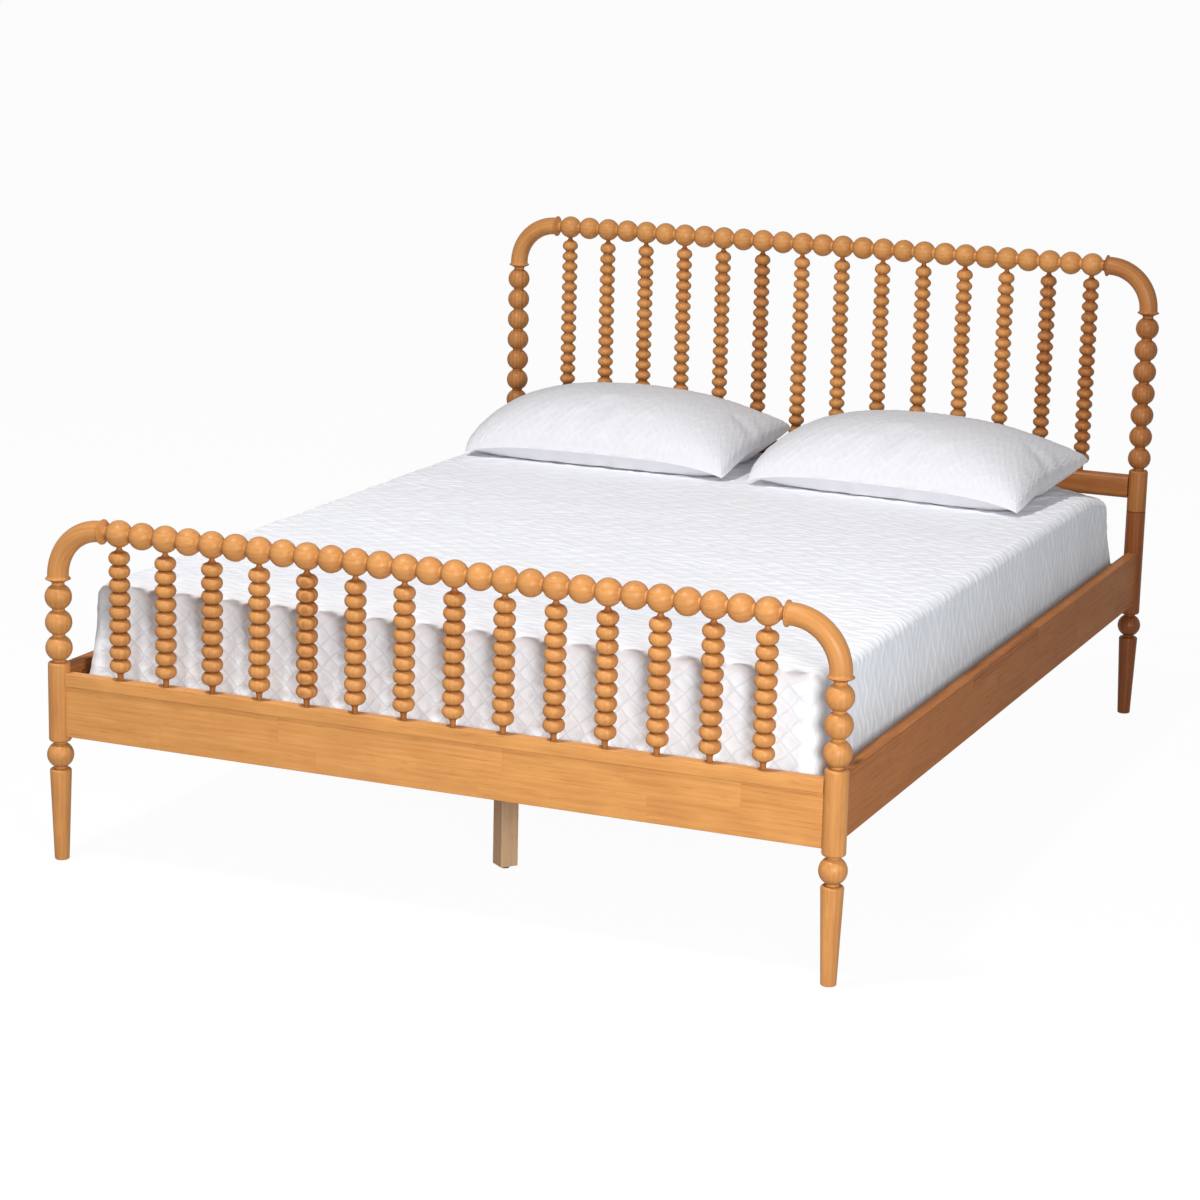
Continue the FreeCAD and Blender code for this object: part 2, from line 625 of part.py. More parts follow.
def side_rail(side):
    low = V(side * POST_X - SIDE_RAIL_THICKNESS / 2, -BOARD_END_Y, SIDE_RAIL_BASE)
    high = V(side * POST_X + SIDE_RAIL_THICKNESS / 2, BOARD_END_Y, SIDE_RAIL_TOP)
    tools = [screw_hole(*cleat_screw_line(side, y), CLEAT_SCREW_LENGTH) for y in CLEAT_SCREW_PLACES]
    for end in ENDS.values():
        for face, inward in bed_bolts(side, end):
            tools.append(bed_bolt_hole(face, inward))
            tools.append(barrel_nut_hole(face, inward, side))
    return cut(board(low, high, BOARD_EASE, ALONG_Y), tools)


def slat_cleat(side):
    middle = side * CLEAT_MID_X
    end_y = BOARD_END_Y - CLEAT_END_GAP
    low = V(middle - CLEAT_WIDTH / 2, -end_y, SLAT_BASE - CLEAT_HEIGHT)
    high = V(middle + CLEAT_WIDTH / 2, end_y, SLAT_BASE)
    tools = []
    for y in CLEAT_SCREW_PLACES:
        tools.append(screw_hole(*cleat_screw_line(side, y), CLEAT_SCREW_LENGTH))
        tools.append(screw_recess(*cleat_screw_line(side, y)))
    tools.extend(screw_hole(*slat_screw_line(side, y), SLAT_SCREW_LENGTH) for y in SLAT_PLACES)
    return cut(Part.makeBox(high.x - low.x, high.y - low.y, high.z - low.z, low), tools)


def slat(y):
    half = SIDE_RAIL_INNER - SLAT_END_GAP
    low = V(-half, y - SLAT_WIDTH / 2, SLAT_BASE)
    high = V(half, y + SLAT_WIDTH / 2, SLAT_TOP)
    tools = []
    for side in SIDES.values():
        tools.append(screw_hole(*slat_screw_line(side, y), SLAT_SCREW_LENGTH))
        tools.append(screw_recess(*slat_screw_line(side, y)))
    return cut(board(low, high, BOARD_EASE, ALONG_X), tools)


def bracket_face(end):
    """Place along Y of the wood face that a bracket is screwed to, and the way from it into the bed."""
    return (PANEL_BACK, 1) if end == "foot" else (CROSS_RAIL_FRONT, -1)


def bracket_screw_lines(end):
    """Screws through a bracket: two into the board behind it, then two up into the centre rail."""
    face_y, inward = bracket_face(end)
    wing_x = (CENTRE_RAIL_WIDTH + BRACKET_WING) / 2
    wing_z = CENTRE_RAIL_BASE + BRACKET_HEIGHT / 2
    seat_y = face_y + inward * (BRACKET_PLATE + BRACKET_SEAT / 2)
    seat_z = CENTRE_RAIL_BASE - BRACKET_PLATE
    plate_y = face_y + inward * BRACKET_PLATE
    into_board = [(V(s * wing_x, plate_y, wing_z), ALONG_Y * -inward) for s in (-1, 1)]
    into_rail = [(V(s * CENTRE_RAIL_WIDTH / 4, seat_y, seat_z), ALONG_Z) for s in (-1, 1)]
    return into_board, into_rail


def bracket_screw_holes(lines):
    return [screw_hole(seat, inward, BRACKET_SCREW_LENGTH) for seat, inward in lines]


def bracket_wood_holes(end):
    return bracket_screw_holes(bracket_screw_lines(end)[0])


def centre_rail_bracket(end):
    """Bent steel bracket: a wide plate on the board and a seat under the centre rail."""
    face_y, inward = bracket_face(end)
    half = CENTRE_RAIL_WIDTH / 2 + BRACKET_WING
    height = BRACKET_HEIGHT + BRACKET_PLATE
    back = Part.makeBox(2 * half, BRACKET_PLATE, height, V(-half, 0, 0))
    reach = BRACKET_PLATE + BRACKET_SEAT
    seat = Part.makeBox(CENTRE_RAIL_WIDTH, reach, BRACKET_PLATE, V(-CENTRE_RAIL_WIDTH / 2, 0, 0))
    shape = back.fuse(seat).removeSplitter()
    if inward < 0:
        shape = shape.mirror(V(0, 0, 0), ALONG_Y)
    shape.translate(V(0, face_y, CENTRE_RAIL_BASE - BRACKET_PLATE))
    into_board, into_rail = bracket_screw_lines(end)
    return cut(shape, bracket_screw_holes(into_board + into_rail))


def leg_stud(y, diameter, slack):
    return rod_about(V(0, y, CENTRE_RAIL_BASE), ALONG_Z, diameter, LEG_STUD_LENGTH + 2 * slack)


def leg_stud_hole(y):
    return leg_stud(y, LEG_STUD_DIAMETER + 2 * FIT, HOLE_END_GAP)


def centre_rail():
    low = V(-CENTRE_RAIL_WIDTH / 2, CENTRE_RAIL_ENDS[0], CENTRE_RAIL_BASE)
    high = V(CENTRE_RAIL_WIDTH / 2, CENTRE_RAIL_ENDS[1], SLAT_BASE)
    tools = [leg_stud_hole(y) for y in CENTRE_LEG_PLACES]
    for end in ENDS:
        tools.extend(bracket_screw_holes(bracket_screw_lines(end)[1]))
    return cut(board(low, high, BOARD_EASE, ALONG_Y), tools)


def centre_leg(y):
    """Square leg, screwed in by hand and left at the angle where it came tight."""
    half = CENTRE_LEG_SIDE / 2
    low = V(-half, -half, CENTRE_LEG_FOOT)
    high = V(half, half, CENTRE_RAIL_BASE)
    shape = board(low, high, CENTRE_LEG_EASE, ALONG_Z)
    shape.rotate(V(0, 0, 0), ALONG_Z, CENTRE_LEG_TURN)
    shape.translate(V(0, y, 0))
    stem_depth = GLIDE_STEM_LENGTH + HOLE_END_GAP
    stem_hole = rod(V(0, y, CENTRE_LEG_FOOT), ALONG_Z, GLIDE_STEM_DIAMETER + 2 * FIT, stem_depth)
    return cut(shape, [leg_stud_hole(y), stem_hole])


def glide(y):
    """Levelling glide: a plain disc on a stem that screws up into the centre leg."""
    disc = rod(V(0, y, 0), ALONG_Z, GLIDE_DIAMETER, GLIDE_THICKNESS)
    stem = rod(V(0, y, GLIDE_THICKNESS), ALONG_Z, GLIDE_STEM_DIAMETER, GLIDE_GAP + GLIDE_STEM_LENGTH)
    return disc.fuse(stem)


def mattress_level(inset, z):
    """Outline of the mattress at one height, its sides drawn in between rounded corners."""
    x = MATTRESS_WIDTH / 2 - inset
    y = MATTRESS_LENGTH / 2 - inset
    c = MATTRESS_CORNER
    bow = c * (1 - math.sqrt(0.5))
    stops = [(x, c - y), (x - MATTRESS_DRAW, 0), (x, y - c), (x - bow, y - bow)]
    stops.extend([(x - c, y), (0, y - MATTRESS_DRAW), (c - x, y)])
    stops.append((bow - x, y - bow))
    stops.extend((-px, -py) for px, py in stops[:])
    points = [V(px, py + MATTRESS_MID_Y, z) for px, py in stops]
    points.append(points[0])
    arcs = [Part.Arc(*points[i:i + 3]).toShape() for i in range(0, len(stops), 2)]
    return Part.Wire(arcs)


def mattress():
    """Covered mattress: flat under and on top, rolled edges and sides drawn in at mid height."""
    turns = [i * math.pi / 2 / ROLL_STEPS for i in range(ROLL_STEPS + 1)]
    side_base = MATTRESS_BASE + MATTRESS_FOOT_ROUND
    side_top = MATTRESS_TOP - MATTRESS_EDGE_ROUND
    levels = []
    for a in turns:
        inset = MATTRESS_FOOT_ROUND * (1 - math.sin(a))
        levels.append((inset, side_base - MATTRESS_FOOT_ROUND * math.cos(a)))
    for i in range(1, SIDE_STEPS):
        share = i / SIDE_STEPS
        levels.append((MATTRESS_DRAW * math.sin(math.pi * share), side_base + (side_top - side_base) * share))
    for a in turns:
        levels.append((MATTRESS_EDGE_ROUND * (1 - math.cos(a)), side_top + MATTRESS_EDGE_ROUND * math.sin(a)))
    return Part.makeLoft([mattress_level(*level) for level in levels], True, True)


def pillow_section(x, fullness):
    """Outline across a pillow: flat base, drawn-out seams front and back, and a crowned top."""
    half = PILLOW_DEPTH / 2 - PILLOW_DRAW * fullness
    base_half = half * (1 - (1 - PILLOW_FLAT_SHARE) * fullness ** 0.5) - PILLOW_EDGE
    base = PILLOW_SEAM_HEIGHT * (1 - min(1.0, fullness * 1.35)) - PILLOW_EDGE / 2 * (1 - fullness)
    base = max(0.0, base)
    crown = PILLOW_SEAM_HEIGHT + PILLOW_EDGE / 2 + (PILLOW_HEIGHT - PILLOW_SEAM_HEIGHT) * fullness
    seam = PILLOW_SEAM_HEIGHT
    low_y = (half + base_half) / 2 + (half - base_half) * 0.12
    low_z = (seam + base) / 2 - (seam - base) * 0.12
    front_base = V(x, -base_half, base)
    back_base = V(x, base_half, base)
    front_seam = V(x, -half, seam)
    back_seam = V(x, half, seam)
    return Part.Wire([
        Part.LineSegment(front_base, back_base).toShape(),
        Part.Arc(back_base, V(x, low_y, low_z), back_seam).toShape(),
        Part.Arc(back_seam, V(x, 0, crown), front_seam).toShape(),
        Part.Arc(front_seam, V(x, -low_y, low_z), front_base).toShape(),
    ])


def pillow(side, inset, setback, turn):
    """Pillow on one side of the mattress, fullest in the middle and thin at its two ends.

    It lies inset from the bed's centre line and set back from the mattress's head end.
    """
    sections = []
    for i in range(-PILLOW_STEPS, PILLOW_STEPS + 1):
        share = math.sin(i * math.pi / 2 / PILLOW_STEPS)
        fullness = math.sqrt(1 - abs(share) ** 3)
        sections.append(pillow_section(share * PILLOW_WIDTH / 2, fullness))
    shape = Part.makeLoft(sections, True, True)
    shape.rotate(V(0, 0, 0), ALONG_Z, turn)
    middle_y = MATTRESS_HEAD_END - setback - PILLOW_DEPTH / 2
    shape.translate(V(side * (inset + PILLOW_WIDTH / 2), middle_y, MATTRESS_TOP))
    return shape


def all_dowels():
    joints = list(CAP_JOINTS)
    for group in (panel_joints, lower_rail_joints, cross_rail_joints):
        joints.extend(both_sides(group))
    for end_y, rail_z in ((-POST_Y, FOOT_RAIL_Z), (POST_Y, HEAD_RAIL_Z)):
        joints.extend(rail_end_joints(end_y, rail_z))
        joints.extend(post_top_joint(side, end_y, rail_z - ELBOW_REACH) for side in SIDES.values())
    return [rod_about(point, direction, DOWEL_DIAMETER, DOWEL_LENGTH) for point, direction in joints]


def save_boards_and_posts():
    for name, side in SIDES.items():
        save(f"head_leg_{name}", head_leg(side))
        save(f"head_post_{name}", head_post(side))
        save(f"head_elbow_{name}", elbow(side, POST_Y, HEAD_RAIL_Z))
        save(f"foot_post_{name}", foot_post(side))
        save(f"foot_elbow_{name}", elbow(side, -POST_Y, FOOT_RAIL_Z))
        save(f"side_rail_{name}", side_rail(side))
        save(f"slat_cleat_{name}", slat_cleat(side))
    save("head_top_rail", top_rail(POST_Y, HEAD_RAIL_Z))
    save("foot_top_rail", top_rail(-POST_Y, FOOT_RAIL_Z))
    save("head_lower_rail", head_lower_rail())
    save("head_cross_rail", head_cross_rail())
    save("foot_cap_rail", foot_cap_rail())
    save("foot_panel", foot_panel())
    save("centre_rail", centre_rail())


def save_spindles():
    foot = (CAP_TOP, FOOT_RAIL_Z, FOOT_BEADS, FOOT_BEAD_DIAMETER, FOOT_GROOVE_DIAMETER, round_bead)
    head = (LOWER_RAIL_TOP, HEAD_RAIL_Z, HEAD_BEADS, HEAD_BEAD_DIAMETER, HEAD_GROOVE_DIAMETER, lozenge_bead)
    save("foot_spindles", *spindle_row(-POST_Y, *foot))
    save("head_spindles", *spindle_row(POST_Y, *head))


def save_slats_and_legs():
    for number, y in enumerate(SLAT_PLACES, 1):
        save(f"slat_{number:02d}", slat(y))
    for end in ENDS:
        save(f"centre_rail_bracket_{end}", centre_rail_bracket(end))
    for number, y in enumerate(CENTRE_LEG_PLACES, 1):
        save(f"centre_leg_{number}", centre_leg(y))
        save(f"glide_{number}", glide(y))


def save_fasteners():
    bolts = [bolt for side in SIDES.values() for end in ENDS.values() for bolt in bed_bolts(side, end)]
    places = [(side, y) for side in SIDES.values() for y in SLAT_PLACES]
    cleat_places = [(side, y) for side in SIDES.values() for y in CLEAT_SCREW_PLACES]
    bracket_lines = [line for end in ENDS for group in bracket_screw_lines(end) for line in group]
    save("bed_bolts", *[bed_bolt(*bolt, BED_BOLT_DIAMETER, 0) for bolt in bolts])
    save("barrel_nuts", *[barrel_nut(*bolt) for bolt in bolts])
    save("dowels", *all_dowels())
    save("post_studs", *[post_stud(side, POST_STUD_DIAMETER, 0) for side in SIDES.values()])
    save("leg_studs", *[leg_stud(y, LEG_STUD_DIAMETER, 0) for y in CENTRE_LEG_PLACES])
    save("slat_screws", *[screw(*slat_screw_line(*place), SLAT_SCREW_LENGTH) for place in places])
    save("cleat_screws", *[screw(*cleat_screw_line(*place), CLEAT_SCREW_LENGTH) for place in cleat_places])
    save("bracket_screws", *[screw(*line, BRACKET_SCREW_LENGTH) for line in bracket_lines])


def save_bedding():
    save("mattress", mattress())
    left = pillow(SIDES["left"], LEFT_PILLOW_INSET, LEFT_PILLOW_SETBACK, LEFT_PILLOW_TURN)
    right = pillow(SIDES["right"], RIGHT_PILLOW_INSET, RIGHT_PILLOW_SETBACK, RIGHT_PILLOW_TURN)
    save("pillow_left", left)
    save("pillow_right", right)


os.makedirs("parts", exist_ok=True)
save_boards_and_posts()
save_spindles()
save_slats_and_legs()
save_fasteners()
save_bedding()
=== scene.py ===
import json
import math

import bmesh
import bpy
import numpy as np
from bpy.props import FloatProperty, FloatVectorProperty, IntProperty, PointerProperty
from mathutils import Matrix, Vector


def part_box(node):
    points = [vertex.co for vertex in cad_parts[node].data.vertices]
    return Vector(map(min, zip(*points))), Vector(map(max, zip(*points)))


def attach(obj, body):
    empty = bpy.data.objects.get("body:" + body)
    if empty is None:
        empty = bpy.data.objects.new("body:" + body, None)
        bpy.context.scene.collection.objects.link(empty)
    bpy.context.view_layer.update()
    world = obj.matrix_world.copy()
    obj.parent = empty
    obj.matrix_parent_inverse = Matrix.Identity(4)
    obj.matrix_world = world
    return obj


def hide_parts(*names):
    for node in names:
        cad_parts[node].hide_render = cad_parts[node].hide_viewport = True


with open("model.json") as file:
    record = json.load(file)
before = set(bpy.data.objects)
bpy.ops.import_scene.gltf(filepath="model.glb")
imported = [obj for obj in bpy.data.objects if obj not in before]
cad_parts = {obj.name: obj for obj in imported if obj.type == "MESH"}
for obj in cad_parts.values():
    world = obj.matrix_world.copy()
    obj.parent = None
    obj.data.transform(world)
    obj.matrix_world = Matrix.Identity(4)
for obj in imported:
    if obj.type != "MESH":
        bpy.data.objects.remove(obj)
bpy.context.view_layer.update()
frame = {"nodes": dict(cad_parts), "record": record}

bl_info = {
    "name": "Bobbin-turned bed",
    "version": (1, 0, 0),
    "blender": (4, 5, 0),
    "location": "3D View > Sidebar > Bed",
    "description": "Dresses the frame of a bobbin-turned bed in its wood, mattress and pillows",
    "category": "Add Mesh",
}

# Directions, and how finely round work is cut
ALONG_X = Vector((1, 0, 0))
ALONG_Y = Vector((0, 1, 0))
ALONG_Z = Vector((0, 0, 1))
SIDES = {"left": -1, "right": 1}
ENDS = ("foot", "head")
ARC_STEP = math.radians(8)
BEND_STEP = math.radians(4)
SHARP_ANGLE = math.radians(28)
SHARP_COVER_ANGLE = math.radians(60)
SHARP_CASE_ANGLE = math.radians(45)
ROUND_CUTS = 48
SPINDLE_CUTS = 26
RAIL_EDGE_CUTS = 9
SAME_POINT = 1e-7
WELD_DISTANCE = 0.00002

# Painted shade in the grooves of the spindles, and dark joint lines of the turned wood
GROOVE_SHADE_REACH = 0.016
GROOVE_SHADE_DEPTH = 0.4
JOINT_LINE = 0.0012
JOINT_SHADE = 1.6

# Grain: its stretch along and across the wood, per metre, and its colours
RING_STRETCH = (0.12, 1.0, 1.0)
FIBRE_STRETCH = (9.0, 300.0, 300.0)
STREAK_STRETCH = (4.5, 95.0, 95.0)
PORE_STRETCH = (30.0, 420.0, 420.0)
BLOTCH_STRETCH = (9.0, 22.0, 22.0)
PITH_DEPTH = 0.041
PORE_STAIN = (0.60, 0.48, 0.42)
DEEP_STAIN_AND_SHADE = (0.42, 0.25, 0.21)
VARNISH_TINT = (0.82, 0.75, 0.70)
WOOD_FIGURE = 0.2
WOOD_BUMP = (0.12, 0.0005)
TURNED_GLOSS = 0.25
HONEY_GLOSS = 0.05
DULL_GLOSS = 0.01
GRAIN_SHIFT = 0.37
BARE_TONES = 0.6
BARE_TONE_STEP = 2.4

# Cotton: its weave, its stitched lines, and a cool tint of painted light on the mattress's sides that offsets
# the warm light the wood throws on them
WEAVE_SCALE = 45.0
CRUMPLE_STRETCH = (130.0, 130.0, 130.0)
WANDER_STRETCH = (14.0, 14.0, 14.0)
COTTON_BUMP = (0.25, 0.0012)
COTTON_GLOSS = 0.25
PAINTED_COOL_TINT = (0.99, 1.04, 1.058)
STITCH_SHADE = (0.55, 0.57, 0.64)

# Ridges of the quilting: how they wander, bend and fade, each with the seed of its chance
RIDGE_STARTS = 997
RIDGE_DRIFT = 0.006
RIDGE_BEND = 1.2
DIAMOND_SWAY = 0.12
RIDGE_SEEDS = {"start": 11, "drift": 12, "fade": 13, "bend": 15}
DIAMOND_SEEDS = {"fade": 14, "sway": 16}

# Mattress: columns and rows of its top, lines down its roll, side and foot, and how its cover is drawn
MATTRESS_GRID = (230, 500)
MATTRESS_LINES = (8, 30, 5)
END_START = 0.55
END_FADE = 0.3
SIDE_FLATNESS = 0.4
FILLING_WAVE = 0.24
FILLING_SEED = 3
BORDER_START = 0.024
BORDER_FADE = 0.02
SAG_REACH = 0.12
CORNER_STRETCH = 0.3
GATHER_DEPTH = 0.0011
GATHER_COUNT = 22
GATHER_ANGLE = 0.5
GATHER_LENGTH = 0.1
BASE_FADE = 0.02
BASE_GAP = 0.0003

# Pillows: points across and along the case, its simulation, and its place and quilting
PILLOW_GRID = (96, 64)
PILLOW_TURNS = {"left": 0.0, "right": math.radians(-4.5)}
CASE_CROWDING = 0.65
CASE_POWER = 2.6
CASE_FULLNESS = 0.52
CORNER_FULLNESS = 0.13
UNDER_FULLNESS = 3.2
FRONT_BLUNTNESS = 0.045
BACK_BLUNTNESS = 0.015
END_STRETCH = 1.01
END_HOLLOW = 0.03
FRONT_HOLLOW = 0.045
FLAT_CLOTH = (0.55, 0.6)
FRONT_DROOP = 0.25
CORNER_DROOP = 0.6
BACK_LIFT = 0.4
CASE_CLOTH = {
    "quality": 6, "mass": 0.25, "tension_stiffness": 12.0, "compression_stiffness": 2.0,
    "shear_stiffness": 2.0, "bending_stiffness": 5.0, "air_damping": 4.0, "use_pressure": True,
    "uniform_pressure_force": 2.0, "shrink_min": -0.01, "shrink_max": 0.05,
}
CASE_FRAMES = 24
SEAM_REACH = 0.012
FOLD_ROUNDS = 3
FORM_ROUNDS = 40
PUCKER_SHARE = 0.6
PUCKER_LIMIT = 0.006
PILLOW_RIDGE_SCALE = 0.6
PILLOW_RIDGE_SHARE = 0.7
PILLOW_GAP = 0.0004

# Lamps: size, place and aim of each
LAMPS = {
    "key": (0.5, (-0.80, -2.55, 5.4), (0.0, -1.0, 0.55)),
    "left": (1.8, (-3.2, -4.6, 2.0), (0.0, -0.8, 0.5)),
    "right": (1.5, (2.75, -4.2, 1.45), (0.6, -0.7, 0.4)),
}
WHITE = (1.0, 1.0, 1.0, 1.0)
SEEN_FLOOR = (0.95, 0.95, 0.95, 1.0)
FLOOR_REACH = 60.0
FILM_WIDTH = 36.0
VIEW_DEPTH = 200.0

# Tone of each turned piece, from light through 0 to dark; the dark tones of the head's right post, leg, elbow
# and lower rail are partly painted shade
PIECE_TONES_AND_SHADE = {
    "foot_post_left": 0.35, "foot_post_right": 0.1, "foot_elbow_left": -0.5, "foot_elbow_right": 0.1,
    "foot_top_rail": -0.1, "head_leg_left": 0.6, "head_leg_right": 2.6, "head_post_left": 1.15,
    "head_post_right": 1.75, "head_elbow_left": 0.3, "head_elbow_right": 1.6, "head_top_rail": 0.25,
    "head_lower_rail": 2.0,
}
SPINDLE_TONES = {
    "foot": (0.3, 0.15, 0.45, -0.5, 0.9, 0.1, -0.2, 0.05, -0.1, 0.0, 0.2, -0.3, 0.35, -0.15),
    "head": (0.02, -0.1, 0.25, -0.2, 0.5, 1.2, -0.05, -0.02, 0.12, 0.35, 0.22, 0.05, 1.6, 1.5),
}


def length(name, description, default):
    return FloatProperty(name=name, description=description, default=default, unit="LENGTH", precision=4)


def whole(name, description, default):
    return IntProperty(name=name, description=description, default=default)


def share(name, description, default):
    return FloatProperty(name=name, description=description, default=default, subtype="FACTOR")


def power(name, description, default):
    return FloatProperty(name=name, description=description, default=default, unit="POWER")


def colour(name, description, default):
    return FloatVectorProperty(name=name, description=description, default=default, subtype="COLOR", size=3)


class BedTurning(bpy.types.PropertyGroup):
    """Sizes of the turned wood."""

    ball_diameter: length("Ball", "Across a ball of a post or a top rail", 0.052)
    ball_pitch: length("Ball pitch", "From one ball of a post to the next", 0.050)
    neck_diameter: length("Neck", "Across the neck between two balls", 0.0245)
    foot_post_balls: whole("Foot post balls", "Balls above a foot post's barrel", 3)
    head_post_balls: whole("Head post balls", "Balls above a head post's barrel", 7)
    rail_balls: whole("Rail balls", "Balls in a top rail", 27)
    post_diameter: length("Post", "Across the plain barrel of a post", 0.0435)
    post_shoulder: length("Post shoulder", "Rounding at the end of a barrel", 0.0055)
    post_joint_ease: length("Post joint ease", "Bevel where a head leg and a head post meet", 0.0008)
    leg_tip_diameter: length("Leg tip", "Across a leg where it stands on the floor", 0.0285)
    leg_tip_ease: length("Leg tip ease", "Bevel round a leg's tip", 0.0015)
    leg_top_diameter: length("Leg top", "Across a leg below its ball", 0.042)
    leg_taper_height: length("Leg taper", "Height of a leg's tapered foot", 0.18285)
    leg_shoulder: length("Leg shoulder", "Rounding at the top of a leg's taper", 0.005)
    foot_barrel: length("Foot barrel", "Length of a foot post's barrel", 0.1572)
    head_barrel: length("Head barrel", "Length of a head post's barrel above its joint", 0.09585)
    elbow_diameter: length("Elbow", "Across an elbow's bend", 0.041)
    elbow_neck: length("Elbow neck", "Length of the neck at an elbow's end", 0.0035)
    collar_diameter: length("Collar", "Across the collar at an elbow's end", 0.0485)
    collar_bevel: length("Collar bevel", "Length of the slope up to a collar", 0.006)
    collar_width: length("Collar width", "Width of a collar's rim", 0.0025)
    collar_cove: length("Collar cove", "Length of the hollow from a collar to the bend", 0.004)


class BedSpindles(bpy.types.PropertyGroup):
    """Sizes of the turned spindles."""

    count: whole("Spindles", "Spindles in a row", 14)
    tenon_length: length("Tenon", "Length of the pin at each end of a spindle", 0.011)
    tenon_diameter: length("Tenon diameter", "Across the pin at each end of a spindle", 0.009)
    peg_length: length("Peg", "Length of the straight peg below the beads", 0.009)
    peg_diameter: length("Peg diameter", "Across that peg", 0.0115)
    base_length: length("Base", "From the seat to the middle of the lowest bead", 0.0285)
    crown_length: length("Crown", "From the middle of the top bead to the ball above", 0.0205)
    swell_height: length("Swell", "Height of the slope between an end bead and its waist", 0.0125)
    waist_diameter: length("Waist", "Across the waist beside an end bead", 0.022)
    crown_neck_diameter: length("Crown neck", "Across the top of the crown", 0.010)
    foot_beads: whole("Foot beads", "Beads on a foot spindle", 9)
    foot_bead_diameter: length("Foot bead", "Across a bead of a foot spindle", 0.041)
    foot_groove_diameter: length("Foot groove", "Across a groove of a foot spindle", 0.0215)
    head_beads: whole("Head beads", "Beads on a head spindle", 17)
    head_bead_diameter: length("Head bead", "Across a bead of a head spindle", 0.0374)
    head_bead_band: length("Head band", "Height of the rounded band of a head bead", 0.0115)
    head_bead_edge: length("Head bead edge", "Across a head bead at the edge of its band", 0.0338)
    head_groove_diameter: length("Head groove", "Across a groove of a head spindle", 0.022)
    head_groove_width: length("Head groove width", "Height of that groove", 0.0025)
    foot_seed: whole("Foot seed", "Which way each foot spindle is turned", 97)
    head_seed: whole("Head seed", "Which way each head spindle is turned", 205)


class BedWood(bpy.types.PropertyGroup):
    """Colours of the wood."""

    light: colour("Honey", "Light tone of the turned wood", (0.709, 0.350, 0.112))
    dark: colour("Honey shade", "Dark tone of the turned wood", (0.363, 0.131, 0.033))
    board_light: colour("Board", "Light tone of the boards", (0.68, 0.328, 0.106))
    board_dark: colour("Board shade", "Dark tone of the boards", (0.345, 0.122, 0.032))
    rail_light: colour("Side rail", "Light tone of the side rails", (0.47, 0.185, 0.062))
    rail_dark: colour("Side rail shade", "Dark tone of the side rails", (0.27, 0.092, 0.027))
    bare_light: colour("Bare wood", "Light tone of the bare wood", (0.72, 0.485, 0.300))
    bare_dark: colour("Bare wood shade", "Dark tone of the bare wood", (0.48, 0.295, 0.165))
    rail_round: length("Rail round", "Rounding along the headboard's lower rail", 0.013)
    stave_length: length("Stave", "Length of a glued stave in a board", 0.46)
    stave_width: length("Stave width", "Width of a glued stave in a board", 0.050)


class BedLinen(bpy.types.PropertyGroup):
    """Sizes and colours of the mattress and the pillows."""

    cover: colour("Cotton", "Colour of the mattress cover", (0.90, 0.905, 0.945))
    cover_shade: colour("Cotton shade", "Colour in the hollows of the mattress cover", (0.855, 0.86, 0.90))
    pillow_cover: colour("Pillow cotton", "Colour of the pillow cases", (0.74, 0.735, 0.765))
    pillow_shade: colour("Pillow cotton shade", "Colour in the hollows of the cases", (0.68, 0.68, 0.71))
    ridge_pitch: length("Ridge pitch", "From one swaying ridge of the quilting to the next", 0.024)
    ridge_width: length("Ridge width", "Half the width of a ridge", 0.0045)
    ridge_height: length("Ridge height", "Height of a ridge above the hollows", 0.0025)
    ridge_sway: length("Ridge sway", "How far a ridge sways to each side", 0.008)
    ridge_wave: length("Ridge wave", "Length of one sway of a ridge", 0.070)
    diamond: length("Diamond", "Width of a quilted diamond on the end faces", 0.040)
    corner: length("Corner", "Rounding of the mattress at its corners", 0.036)
    edge_round: length("Edge round", "Rounding along the mattress's top edge", 0.026)
    foot_round: length("Foot round", "Rounding along the mattress's lower edge", 0.018)
    top_inset: length("Top inset", "How far the cover draws the top in from the base", 0.010)
    side_draw: length("Side draw", "How far the sides draw in at mid height", 0.003)
    head_sag: length("Head sag", "How far the mattress sags at its two corners by the headboard", 0.032)
    unevenness: length("Unevenness", "Soft unevenness of the filling", 0.0012)
    pillow_width: length("Pillow width", "Pillow from end to end", 0.668)
    pillow_depth: length("Pillow depth", "Pillow from front to back", 0.440)
    pillow_height: length("Pillow height", "Height of a pillow at its crown", 0.155)
    pillow_seam: length("Pillow seam", "Height of a pillow's seam above the mattress", 0.042)


class BedStage(bpy.types.PropertyGroup):
    """Camera, lamps and floor."""

    camera_place: FloatVectorProperty(
        name="Camera", description="Where the camera stands", default=(2.47483, -6.07504, 1.90906), size=3,
        subtype="TRANSLATION", unit="LENGTH")
    camera_turn: FloatVectorProperty(
        name="Camera turn", description="How the camera is turned", default=(1.343053, -0.023242, 0.407316),
        size=3, subtype="EULER", unit="ROTATION")
    lens: FloatProperty(name="Lens", description="Focal length on a 36 mm film", default=95.7, unit="CAMERA")
    key_power: power("Key lamp", "Power of the small lamp overhead", 205.0)
    left_power: power("Left lamp", "Power of the wide lamp in front at the left", 35.0)
    right_power: power("Right lamp", "Power of the wide lamp in front at the right", 145.0)
    sky: share("Sky", "Strength of the even light all round", 0.22)
    floor: colour("Floor", "Colour of the floor as the bed sees it", (0.48, 0.48, 0.49))
    floor_white: share("Floor white", "How far the floor is lifted to white for the camera", 0.96)


# Shader nodes


def fill_inputs(tree, inputs, values):
    """Sets inputs to plain values, or joins them to the outputs of other nodes."""
    for name, value in values.items():
        if isinstance(value, bpy.types.NodeSocket):
            tree.links.new(value, inputs[name])
        else:
            inputs[name].default_value = value


